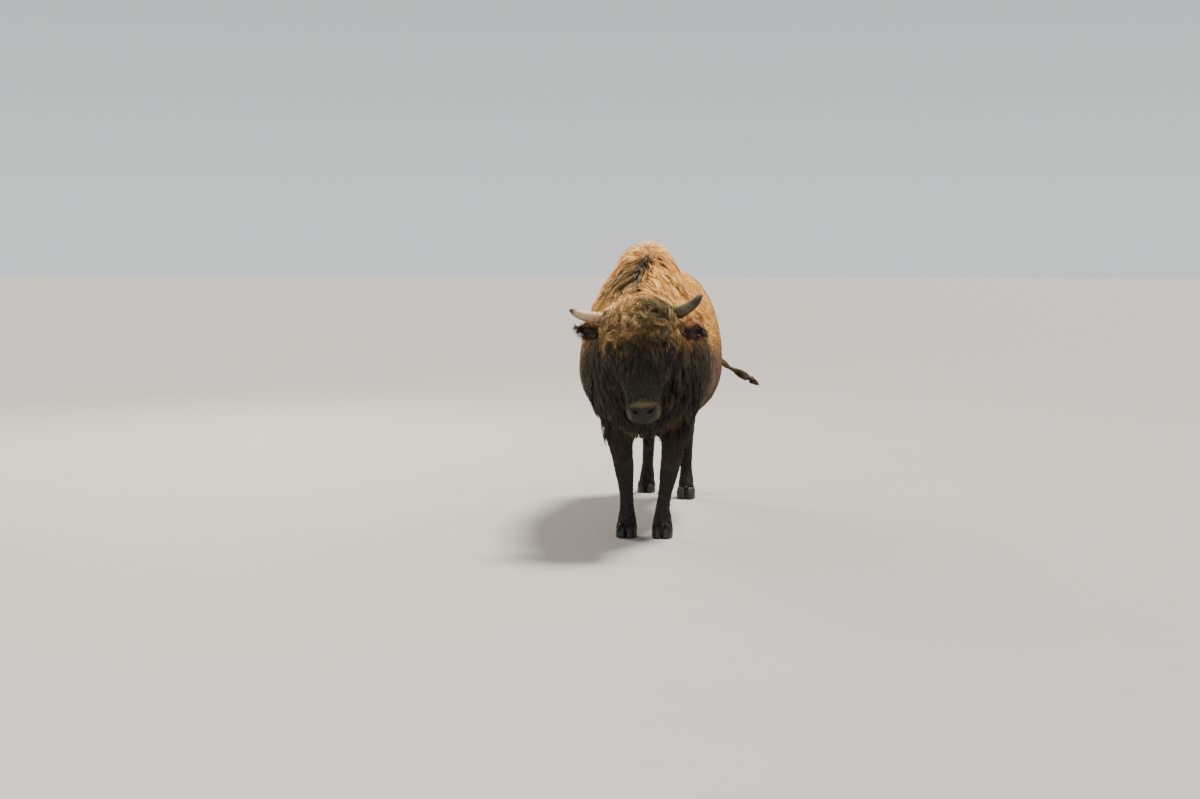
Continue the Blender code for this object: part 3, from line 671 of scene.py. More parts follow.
def add_uv(mesh: Mesh, places: Array) -> None:
    """Store the map for the bake, from one place for every vertex."""
    corners = np.empty(len(mesh.loops), dtype=np.int32)
    mesh.loops.foreach_get("vertex_index", corners)
    layer = mesh.uv_layers.new(name=BAKE_MAP)
    layer.data.foreach_set("uv", places[corners].astype(np.float32).ravel())


def show(name: str, mesh: Mesh, material: Material, nodes: tuple[str, ...] = ()) -> bpy.types.Object:
    """Put a finished piece on the model.

    Args:
        name: Name of the piece.
        mesh: Its mesh.
        material: Its finish.
        nodes: Frame nodes that it stands for.

    Returns:
        The piece.
    """
    piece = link(name, mesh)
    piece.data.materials.append(material)
    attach(piece, BODY)
    if nodes:
        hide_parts(*nodes)
    return piece


class Graph:
    """A short way to lay out the nodes of a material."""

    def __init__(self, name: str) -> None:
        """Start a material with one shader."""
        self.material = bpy.data.materials.new(name)
        self.material.use_nodes = True
        self.tree = self.material.node_tree
        self.shader = self.tree.nodes["Principled BSDF"]

    def node(self, kind: str, settings: dict[str, object] | None = None, **inputs: object) -> bpy.types.Node:
        """Add a node.

        Args:
            kind: Blender's name of the node type.
            settings: Properties of the node.
            **inputs: Socket names, with underscores for spaces, and their values or links.

        Returns:
            The node.
        """
        made = self.tree.nodes.new(kind)
        for key, value in (settings or {}).items():
            setattr(made, key, value)
        for key, value in inputs.items():
            self.feed(made.inputs[int(key[1:]) if key[1:].isdigit() else key.replace("_", " ")], value)
        return made

    def feed(self, socket: Socket, value: object) -> None:
        """Link a socket or set its value."""
        if isinstance(value, Socket):
            self.tree.links.new(value, socket)
        else:
            socket.default_value = value

    def layer(self, name: str, output: str = "Color") -> Socket:
        """Read a layer of the mesh."""
        return self.node("ShaderNodeAttribute", {"attribute_name": name}).outputs[output]

    def place(self) -> Socket:
        """The place on the object."""
        return self.node("ShaderNodeTexCoord").outputs["Object"]

    def noise(self, vector: Socket, scale: float, detail: float) -> Socket:
        """A soft noise between 0 and 1."""
        made = self.node("ShaderNodeTexNoise", Vector=vector, Scale=scale, Detail=detail, Roughness=0.6)
        return made.outputs["Fac"]

    def strands(self, vector: Socket, scale: Way, detail: float, turn: Way = (0.0, 0.0, 0.0)) -> Socket:
        """A noise drawn out into strands."""
        made = self.node("ShaderNodeMapping", Vector=vector, Scale=scale, Rotation=turn)
        return self.noise(made.outputs["Vector"], 1.0, detail)

    def remap(self, value: Socket, span: Span, to_span: Span) -> Socket:
        """Map a span onto another."""
        made = self.node("ShaderNodeMapRange", Value=value, From_Min=span[0], From_Max=span[1],
                         To_Min=to_span[0], To_Max=to_span[1])
        return made.outputs["Result"]

    def shade(self, colour: Socket, noise: Socket, dark: float, light: float) -> Socket:
        """Make a colour darker and lighter by a noise."""
        factor = self.remap(noise, NOISE_SPAN, (dark, light))
        made = self.node("ShaderNodeVectorMath", {"operation": "SCALE"}, _0=colour, Scale=factor)
        return made.outputs["Vector"]

    def mix(self, share: Socket, first: Socket, second: Socket) -> Socket:
        """Mix two numbers."""
        return self.node("ShaderNodeMix", {"data_type": "FLOAT"}, _0=share, _2=first, _3=second).outputs[0]

    def bump(self, height: Socket, strength: float, distance: float) -> None:
        """Raise the surface by a height."""
        made = self.node("ShaderNodeBump", Height=height, Strength=strength, Distance=distance)
        self.tree.links.new(made.outputs["Normal"], self.shader.inputs["Normal"])

    def sockets(self, **values: object) -> None:
        """Set the shader's own sockets."""
        for key, value in values.items():
            self.feed(self.shader.inputs[key.replace("_", " ")], value)


@dataclass(frozen=True)
class Finish:
    """A finish: a named material and the way its nodes are laid out."""

    name: str

    def material(self) -> Material:
        """Make the material."""
        graph = Graph(self.name)
        self.lay_out(graph)
        return graph.material

    def lay_out(self, graph: Graph) -> None:
        """Lay out the nodes."""
        raise NotImplementedError


@dataclass(frozen=True)
class FurFinish(Finish):
    """Hair: its own colour, finer strands along each lock and a dry sheen."""

    name: str = "fur"
    roughness: float = 0.58
    sheen: float = 0.04
    sheen_roughness: float = 0.45
    sheen_tint: Rgba = (0.75, 0.62, 0.48, 1.0)
    shine: float = 0.25
    strand_scale: Way = (7.0, 0.6, 1.0)
    strand_shade: Span = (0.62, 1.38)
    patch_scale: float = 9.0
    patch_shade: Span = (0.82, 1.18)
    relief: Span = (0.55, 0.002)

    def lay_out(self, graph: Graph) -> None:
        """Lay out the nodes."""
        lines = graph.strands(graph.layer(STRAND_LAYER, "Vector"), self.strand_scale, 2.0)
        patches = graph.noise(graph.place(), self.patch_scale, 4.0)
        colour = graph.shade(graph.layer(COLOUR_LAYER), lines, *self.strand_shade)
        graph.sockets(Base_Color=graph.shade(colour, patches, *self.patch_shade), Roughness=self.roughness,
                      Sheen_Weight=self.sheen, Sheen_Roughness=self.sheen_roughness, Sheen_Tint=self.sheen_tint,
                      Specular_IOR_Level=self.shine)
        graph.bump(lines, *self.relief)


@dataclass(frozen=True)
class SkinFinish(Finish):
    """Skin under the coat: flat short hair as bump, and bare moist skin at the nose and lids."""

    name: str = "skin"
    hair_fine: float = 380.0
    hair_long: float = 26.0
    hair_shade: Span = (0.7, 1.25)
    lean: float = math.radians(-29.0)
    pebbles: float = 330.0
    roughness: Span = (0.8, 0.5)
    shine: float = 0.3
    relief: Span = (0.7, 0.003)

    def lay_out(self, graph: Graph) -> None:
        """Lay out the nodes."""
        place, bare = graph.place(), graph.layer(BARE_LAYER, "Fac")
        leaning = graph.strands(place, (self.hair_fine, self.hair_long, self.hair_fine), 2.0, (self.lean, 0.0, 0.0))
        falling = graph.strands(place, (self.hair_fine, self.hair_fine, self.hair_long), 2.0)
        hair = graph.mix(graph.layer(UPRIGHT_LAYER, "Fac"), leaning, falling)
        pebbles = graph.node("ShaderNodeTexVoronoi", Vector=place, Scale=self.pebbles).outputs["Distance"]
        graph.sockets(Base_Color=graph.shade(graph.layer(COLOUR_LAYER), hair, *self.hair_shade),
                      Roughness=graph.remap(bare, (0.0, 1.0), self.roughness), Specular_IOR_Level=self.shine)
        graph.bump(graph.mix(bare, hair, pebbles), *self.relief)


@dataclass(frozen=True)
class HornFinish(Finish):
    """Horn or hoof: long fibres along the growth, worn lighter and darker, with a dull polish."""

    roughness: Span = (0.34, 0.54)
    fibre: float = 26.0
    fibre_long: float = 3.0
    fibre_shade: Span = (0.78, 1.18)
    blotch_scale: Way = (4.0, 9.0, 4.0)
    blotch_shade: Span = (0.75, 1.2)
    coat: float = 0.06
    coat_roughness: float = 0.35
    shine: float = 0.25
    relief: Span = (0.35, 0.0015)

    def lay_out(self, graph: Graph) -> None:
        """Lay out the nodes."""
        strand = graph.layer(STRAND_LAYER, "Vector")
        fibres = graph.strands(strand, (self.fibre, self.fibre_long, self.fibre), 4.0)
        blotches = graph.strands(strand, self.blotch_scale, 3.0)
        colour = graph.shade(graph.layer(COLOUR_LAYER), fibres, *self.fibre_shade)
        graph.sockets(Base_Color=graph.shade(colour, blotches, *self.blotch_shade),
                      Roughness=graph.remap(fibres, NOISE_SPAN, self.roughness), Coat_Weight=self.coat,
                      Coat_Roughness=self.coat_roughness, Specular_IOR_Level=self.shine)
        graph.bump(fibres, *self.relief)


@dataclass(frozen=True)
class EyeFinish(Finish):
    """A wet eye: colours from its own layer under a clear coat."""

    name: str = "eye_wet"
    grain: float = 900.0
    grain_shade: Span = (0.85, 1.15)
    roughness: float = 0.3
    coat: float = 0.4
    coat_roughness: float = 0.03
    shine: float = 0.1

    def lay_out(self, graph: Graph) -> None:
        """Lay out the nodes."""
        grain = graph.noise(graph.place(), self.grain, 2.0)
        graph.sockets(Base_Color=graph.shade(graph.layer(COLOUR_LAYER), grain, *self.grain_shade),
                      Roughness=self.roughness, Coat_Weight=self.coat, Coat_Roughness=self.coat_roughness,
                      Specular_IOR_Level=self.shine)


@dataclass(frozen=True)
class FloorFinish(Finish):
    """Pale matt studio floor."""

    name: str = "floor_pale"
    dark: Rgba = (0.238, 0.235, 0.229, 1.0)
    light: Rgba = (0.25, 0.247, 0.241, 1.0)
    cloud: float = 1.2
    roughness: float = 0.85

    def lay_out(self, graph: Graph) -> None:
        """Lay out the nodes."""
        clouds = graph.noise(graph.place(), self.cloud, 2.0)
        colour = graph.node("ShaderNodeMix", {"data_type": "RGBA"}, _0=clouds, _6=self.dark, _7=self.light)
        graph.sockets(Base_Color=colour.outputs[2], Roughness=self.roughness)


@dataclass(frozen=True)
class Zone:
    """A block of the head, given by its spans across, down and out of the face, alike on both sides."""

    across: Span
    down: Span
    out: Span

    def holds(self, local: Array) -> Array:
        """Whether head places lie in the block."""
        inside = np.ones(len(local), dtype=bool)
        places = np.abs(local[:, 0]), local[:, 1], local[:, 2]
        for values, (low, high) in zip(places, (self.across, self.down, self.out)):
            inside &= (values > low) & (values < high)
        return inside


@dataclass(frozen=True)
class Ears:
    """The hollow in the front of each ear."""

    middle: float = 0.142
    droop: Span = (0.038, -0.016)
    start: float = 0.2
    length: float = 0.165
    width: Span = (0.034, 0.008)
    base: Span = (0.205, 0.235)
    tip: Span = (0.365, 0.32)
    facing: Span = (0.1, 0.6)
    depth: float = 0.017

    def cut(self, points: Array, normals: Array) -> Array:
        """Hollow both ears.

        Args:
            points: Places on the skin.
            normals: The skin's normals there.

        Returns:
            The moved places.
        """
        local, facing = HEAD.local(points), normals @ HEAD.rows.T
        for side, droop in zip(SIDES.values(), self.droop):
            across = side * local[:, 0]
            middle = self.middle + droop * np.clip((across - self.start) / self.length, 0.0, 1.0)
            inside = ramp(np.abs(local[:, 1] - middle), *self.width)
            inside = inside * ramp(across, *self.base) * ramp(across, *self.tip)
            local[:, 2] -= self.depth * inside * ramp(facing[:, 2], *self.facing)
        return HEAD.world(local)


@dataclass(frozen=True)
class Muzzle:
    """Nose pad, nostrils, lips and the line of the mouth."""

    mouth_out: float = -0.004
    mouth_down: float = 0.705
    mouth_slope: float = 0.45
    front: Span = (0.575, 0.615)
    groove_depth: float = 0.0075
    groove_width: float = 0.0045
    lip_height: float = 0.0035
    lip_width: float = 0.01
    upper_lip: float = 0.016
    lower_lip: float = -0.014
    lower_share: float = 0.8
    pad: tuple[Span, Span, Span] = ((0.622, 0.634), (0.072, 0.06), (0.02, 0.03))
    pad_height: float = 0.003
    crease_width: float = 0.0035
    crease_depth: float = 0.0035
    crease: Span = (0.65, 0.668)
    nostril: Span = (0.043, 0.65)
    nostril_turn: Span = (0.8, 0.6)
    nostril_bend: float = 18.0
    nostril_size: Span = (0.0175, 0.0082)
    nostril_edge: Span = (1.08, 0.45)
    nostril_front: Span = (0.012, 0.03)
    nostril_depth: float = 0.019
    rim_height: float = 0.004
    rim: Span = (1.45, 0.33)
    bare_pad: tuple[Span, Span, Span] = ((0.624, 0.632), (0.072, 0.064), (0.006, 0.016))
    bare_lips: Span = (0.012, 0.007)
    bare_front: Span = (0.58, 0.6)

    def off_mouth(self, local: Array) -> Array:
        """How far out of the line of the mouth head places lie."""
        return local[:, 2] - (self.mouth_out - self.mouth_slope * (self.mouth_down - local[:, 1]))

    def pad_share(self, local: Array, spans: tuple[Span, Span, Span]) -> Array:
        """Share of the nose pad, from its spans down, across and off the mouth."""
        down, across, off = spans
        return ramp(local[:, 1], *down) * ramp(np.abs(local[:, 0]), *across) * ramp(self.off_mouth(local), *off)

    def cut(self, points: Array, normals: Array) -> Array:
        """Cut the nostrils and the line of the mouth, and raise the nose pad and lips.

        Args:
            points: Places on the skin.
            normals: The skin's normals there.

        Returns:
            The moved places.
        """
        local = HEAD.local(points)
        down, off = local[:, 1], self.off_mouth(local)
        front = ramp(down, *self.front)
        groove = bell(off, 0.0, self.groove_width) * front
        lips = bell(off, self.upper_lip, self.lip_width) + self.lower_share * bell(off, self.lower_lip, self.lip_width)
        move = -self.groove_depth * groove + self.lip_height * (lips * front)
        pad = self.pad_share(local, self.pad)
        move += self.pad_height * pad
        move -= self.crease_depth * (bell(local[:, 0], 0.0, self.crease_width) * pad * ramp(down, *self.crease))
        cos, sin = self.nostril_turn
        for side in SIDES.values():
            across, drop = side * local[:, 0] - self.nostril[0], down - self.nostril[1]
            along = cos * across - sin * drop
            over = sin * across + cos * drop + self.nostril_bend * (along ** 2)
            reach = np.sqrt((along / self.nostril_size[0]) ** 2 + (over / self.nostril_size[1]) ** 2)
            ahead = ramp(off, *self.nostril_front)
            move -= self.nostril_depth * ramp(reach, *self.nostril_edge) * ahead
            move += self.rim_height * bell(reach, *self.rim) * ahead
        return points + normals * move[:, None]

    def bare(self, local: Array) -> Array:
        """Share of bare skin on the nose pad and lips."""
        lips = ramp(np.abs(self.off_mouth(local)), *self.bare_lips) * ramp(local[:, 1], *self.bare_front)
        return self.pad_share(local, self.bare_pad) + lips


@dataclass(frozen=True)
class Lids:
    """Lids wrapped round the eyeballs, with their folds and an almond slit."""

    eye_radius: float = 0.0208
    thickness: float = 0.0036
    slit: Span = (0.019, 0.0112)
    almond: float = 1.65
    socket: Span = (0.007, 0.042)
    zone: float = 0.055
    ahead: float = 0.05
    edge: Span = (0.84, 1.16)
    folds: tuple[Way, ...] = ((0.0016, 1.35, 0.22), (-0.0014, 2.0, 0.25), (0.0012, 2.6, 0.25))
    under: float = 0.004
    lip: float = 0.0005
    rims: Span = (1.55, 1.25)
    rim_zone: float = 0.05

    def slit_share(self, away: Array, along: Array, over: Array) -> Array:
        """Distance from the eye's middle as a share of the way to the almond edge of the lids."""
        long_way = np.abs(away @ along / self.slit[0]) ** self.almond
        short_way = np.abs(away @ over / self.slit[1]) ** self.almond
        return (long_way + short_way) ** (1.0 / self.almond)

    def cut(self, points: Array, side: str) -> Array:
        """Raise the socket's rim and wrap lids round the eyeball.

        Args:
            points: Places on the skin.
            side: Side of the eye.

        Returns:
            The moved places.
        """
        gaze, along, over = eye_axes(side)
        centre = EYES[side]
        height, width = self.socket
        bulge = height * bell(np.linalg.norm(points - centre, axis=1), 0.0, width)
        away = points + gaze * bulge[:, None] - centre
        reach = np.maximum(np.linalg.norm(away, axis=1), 1e-6)
        near = (away @ gaze / reach > self.ahead) & (reach < self.zone)
        slit = self.slit_share(away, along, over)
        edge = near & (slit > self.edge[0]) & (slit < self.edge[1])
        flat = away - gaze * (away @ gaze)[:, None]
        away = np.where(edge[:, None], away + flat * (1.0 / np.maximum(slit, 0.1) - 1.0)[:, None], away)
        reach = np.maximum(np.linalg.norm(away, axis=1), 1e-6)
        slit = np.where(edge, 1.0, slit)
        wrap = self.eye_radius + self.thickness
        for rise, at, width in self.folds:
            wrap = wrap + rise * bell(slit, at, width)
        radius = np.where(slit < 0.99, self.eye_radius - self.under, np.maximum(reach, wrap))
        radius = np.where(edge, self.eye_radius + self.lip, radius)
        radius = np.where(near, radius, reach)
        return centre + away * (radius / reach)[:, None]

    def bare(self, places: Places) -> Array:
        """Share of bare skin on the rims of the lids.

        Args:
            places: Places on the skin.

        Returns:
            From 0.0 to 1.0.
        """
        bare = np.zeros(len(places.points))
        for side in SIDES:
            gaze, along, over = eye_axes(side)
            away = places.points - EYES[side]
            share = ramp(self.slit_share(away, along, over), *self.rims)
            bare = np.maximum(bare, share * (away @ gaze > 0.0) * (places.measure("e") < self.rim_zone))
        return bare


@dataclass
class Skin:
    """One skin over all the flesh, inside it by the coat's depth, with lids, nostrils, lips and ear hollows."""

    coat_map: CoatMap
    ears: Ears = Ears()
    muzzle: Muzzle = Muzzle()
    lids: Lids = Lids()
    voxel: float = 0.0132
    overlap: float = 0.0006
    horn_seat: Way = (0.155, 0.08, -0.005)
    horn_seat_radius: float = 0.053
    sink_rounds: int = 5
    flesh_blend: tuple[int, float] = (6, 0.6)
    evening: Span = (0.6, -0.62)
    sink_most: float = 0.012
    face_zone: Zone = Zone((-FAR, 0.26), (0.2, 0.75), (-0.13, FAR))
    ear_zone: Zone = Zone((0.205, FAR), (0.07, 0.22), (-0.11, 0.01))
    muzzle_zone: Zone = Zone((-FAR, 0.11), (0.585, 0.75), (-0.075, FAR))
    eye_zones: Span = (0.052, 0.036)
    bare_colour: Colour = (0.01, 0.0085, 0.008)
    bare_below: float = 1.35
    covered: Span = (0.055, 0.085)
    upright: Span = (0.62, 0.88)
    unwrap_angle: float = 1.15
    unwrap_margin: float = 0.003

    def build(self) -> None:
        """Make the skin's mesh and all that the coat needs to know about it."""
        self.cad_tree, owners = search_tree(tuple(name for kind in Flesh for name in kind.value))
        self.cad_kinds = np.array([index for index, kind in enumerate(Flesh) for _ in kind.value])[owners]
        mesh = wrapped(self.joined(), self.voxel)
        points, edges, faces = read_mesh(mesh)
        wrap_tree = BVHTree.FromPolygons(points.tolist(), faces.tolist())
        points = self.even(points, edges, 8)
        for _ in range(self.sink_rounds):
            places = self.places(points, edges, faces)
            depth = self.coat_map.blend(self.coat_map.shares(places), "depth")
            feet = np.array([tuple(wrap_tree.find_nearest(point)[0]) for point in points.tolist()])
            off = feet - points
            sunk = np.linalg.norm(off, axis=1) * np.sign(np.sum(off * places.normals, axis=1))
            error = np.clip(sunk - depth, -self.sink_most, self.sink_most)[:, None]
            points = self.even(points + places.normals * spread_over(edges, error, 3, 0.5), edges, 1)
        write_points(mesh, points)
        mesh = self.refined(mesh)
        points, edges, faces = read_mesh(mesh)
        points = self.ears.cut(points, vertex_normals(points, faces))
        points = self.muzzle.cut(points, vertex_normals(points, faces))
        for side in SIDES:
            points = self.lids.cut(points, side)
        write_points(mesh, points)
        self.dress(mesh, points, edges, faces)

    def joined(self) -> Mesh:
        """Join the flesh nodes and fill the seats of eyes and horns.

        Returns:
            The closed solid under the skin.
        """
        body = bmesh.new()
        for name in [name for kind in Flesh for name in kind.value] + ["eye_left", "eye_right"]:
            part = bmesh.new()
            part.from_mesh(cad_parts[name].data)
            bmesh.ops.remove_doubles(part, verts=part.verts, dist=1e-5)
            part.normal_update()
            for vertex in part.verts:
                vertex.co += vertex.normal * self.overlap
            single = bpy.data.meshes.new("part")
            part.to_mesh(single)
            part.free()
            body.from_mesh(single)
        for side in SIDES.values():
            seat = HEAD.world((side * self.horn_seat[0], *self.horn_seat[1:]))
            place = Matrix.Translation(Vector(seat))
            bmesh.ops.create_icosphere(body, subdivisions=3, radius=self.horn_seat_radius, matrix=place)
        joined = bpy.data.meshes.new("joined")
        body.to_mesh(joined)
        body.free()
        return joined

    def places(self, points: Array, edges: Array, faces: Array) -> Places:
        """What the coat's map asks about the skin's vertices."""
        nearest = [self.cad_tree.find_nearest(point)[2] for point in points.tolist()]
        flesh = np.eye(len(Flesh))[self.cad_kinds[np.array(nearest)]]
        return Places(points, vertex_normals(points, faces), spread_over(edges, flesh, *self.flesh_blend))

    def even(self, points: Array, edges: Array, rounds: int) -> Array:
        """Smooth the wrap without shrinking it."""
        for strength in self.evening * rounds:
            points = spread_over(edges, points, 1, strength)
        return points

    def refined(self, mesh: Mesh) -> Mesh:
        """Divide the mesh finer on the head, finer again round the muzzle and finest round the eyes.

        Args:
            mesh: The even mesh.

        Returns:
            The finer mesh.
        """
        for level in range(3):
            work = bmesh.new()
            work.from_mesh(mesh)
            spots = np.array([vertex.co for vertex in work.verts])
            local, eyes = HEAD.local(spots), eye_distance(spots)
            chosen = (self.face_zone.holds(local) | self.ear_zone.holds(local),
                      self.muzzle_zone.holds(local) | (eyes < self.eye_zones[0]),
                      eyes < self.eye_zones[1])[level]
            edges = [edge for edge in work.edges if chosen[edge.verts[0].index] and chosen[edge.verts[1].index]]
            bmesh.ops.subdivide_edges(work, edges=edges, cuts=1, use_grid_fill=True)
            mesh = bpy.data.meshes.new("skin")
            work.to_mesh(mesh)
            work.free()
            points, pairs, _ = read_mesh(mesh)
            write_points(mesh, self.even(points, pairs, 3))
        return mesh

    def dress(self, mesh: Mesh, points: Array, edges: Array, faces: Array) -> None:
        """Keep the skin's own fields, colour it and unwrap it.

        Args:
            mesh: Mesh of the skin.
            points: Its vertices.
            edges: Its pairs of vertices.
            faces: Its triangles.
        """
        self.points = points
        places = self.places(points, edges, faces)
        self.normals, self.flesh = places.normals, places.flesh
        shares = self.coat_map.shares(places)
        self.flow = unit(spread_over(edges, self.coat_map.flow(places, shares), 3, 0.5))
        bare = np.clip(self.muzzle.bare(HEAD.local(points)) + self.lids.bare(places), 0.0, 1.0)
        self.bare = bare * (places.measure("z") < self.bare_below)
        blend = self.coat_map.blend
        root, tip = self.coat_map.marked_and_lit(blend(shares, "root"), blend(shares, "tip"), points)
        cover = ramp(blend(shares, "length"), *self.covered)[:, None]
        colour = root * (0.5 + 0.15 * cover) + tip * (0.35 - 0.25 * cover)
        colour = colour * (1.0 - self.bare[:, None]) + np.array(self.bare_colour) * self.bare[:, None]
        self.tree = BVHTree.FromPolygons(points.tolist(), faces.tolist())
        smooth(mesh)
        add_colour(mesh, colour)
        add_values(mesh, BARE_LAYER, self.bare)
        add_values(mesh, UPRIGHT_LAYER, ramp(np.abs(self.flow[:, 2]), *self.upright))
        nodes = tuple(name for kind in Flesh for name in kind.value)
        self.unwrap(show("skin", mesh, SkinFinish().material(), nodes))

    def unwrap(self, piece: bpy.types.Object) -> None:
        """Lay the skin out flat, and keep the place of each triangle's corners.

        Args:
            piece: The skin.
        """
        mesh = piece.data
        mesh.uv_layers.new(name=BAKE_MAP)
        bpy.context.view_layer.objects.active = piece
        piece.select_set(True)
        bpy.ops.object.mode_set(mode="EDIT")
        bpy.ops.mesh.select_all(action="SELECT")
        bpy.ops.uv.smart_project(angle_limit=self.unwrap_angle, island_margin=self.unwrap_margin, scale_to_bounds=True)
        bpy.ops.object.mode_set(mode="OBJECT")
        places = np.empty(len(mesh.loops) * 2, dtype=np.float32)
        mesh.uv_layers[BAKE_MAP].data.foreach_get("uv", places)
        mesh.calc_loop_triangles()
        corners = np.empty(len(mesh.loop_triangles) * 3, dtype=np.int32)
        mesh.loop_triangles.foreach_get("loops", corners)
        vertices = np.empty(len(mesh.loop_triangles) * 3, dtype=np.int32)
        mesh.loop_triangles.foreach_get("vertices", vertices)
        self.faces = vertices.reshape(-1, 3)
        self.corner_uv = places.reshape(-1, 2)[corners].reshape(-1, 3, 2)


class Side(Enum):
    """The part of the body that a piece of the coat keeps to."""

    WHOLE = "whole"
    LEFT = "left"
    RIGHT = "right"
    FORE = "fore"
    HIND = "hind"


@dataclass(frozen=True)
class LockPiece:
    """One joined piece of the coat: which coats it takes, in how many steps, and the side it keeps to."""

    name: str
    coats: tuple[str, ...]
    steps: int
    slot: str
    seed: int
    side: Side = Side.WHOLE


PIECES: tuple[LockPiece, ...] = (
    LockPiece("coat_mop_left", ("mop",), 6, "coat_brown", 11, Side.LEFT),
    LockPiece("coat_mop_right", ("mop",), 6, "coat_brown", 26, Side.RIGHT),
    LockPiece("coat_nape", ("nape",), 6, "coat_tawny", 12),
    LockPiece("coat_mane", ("mane",), 5, "coat_tawny", 13),
    LockPiece("coat_hump", ("hump", "withers", "crest"), 4, "coat_tawny", 14),
    LockPiece("coat_neck", ("neck",), 4, "coat_dark", 15),
    LockPiece("coat_shoulder", ("shoulder", "breeches"), 3, "coat_dark", 16),
    LockPiece("coat_chest", ("chest", "throat", "belly"), 4, "coat_dark", 17),
    LockPiece("coat_flank_left", ("flank", "back"), 2, "coat_brown", 18, Side.LEFT),
    LockPiece("coat_flank_right", ("flank", "back"), 2, "coat_brown", 19, Side.RIGHT),
    LockPiece("coat_face", ("cheek", "brow", "face", "muzzle", "chin", "lid"), 3, "coat_dark", 20),
    LockPiece("coat_forelegs", ("foreleg", "shin"), 2, "coat_dark", 21, Side.FORE),
    LockPiece("coat_hindlegs", ("hindleg", "shin"), 2, "coat_brown", 22, Side.HIND),
    LockPiece("coat_feet", ("coronet",), 4, "coat_dark", 27),
    LockPiece("coat_ears", ("ear",), 3, "coat_brown", 23),
    LockPiece("coat_tail", ("tail", "tuft"), 4, "coat_brown", 24),
    LockPiece("coat_beard", ("beard",), 6, "coat_dark", 25),
)


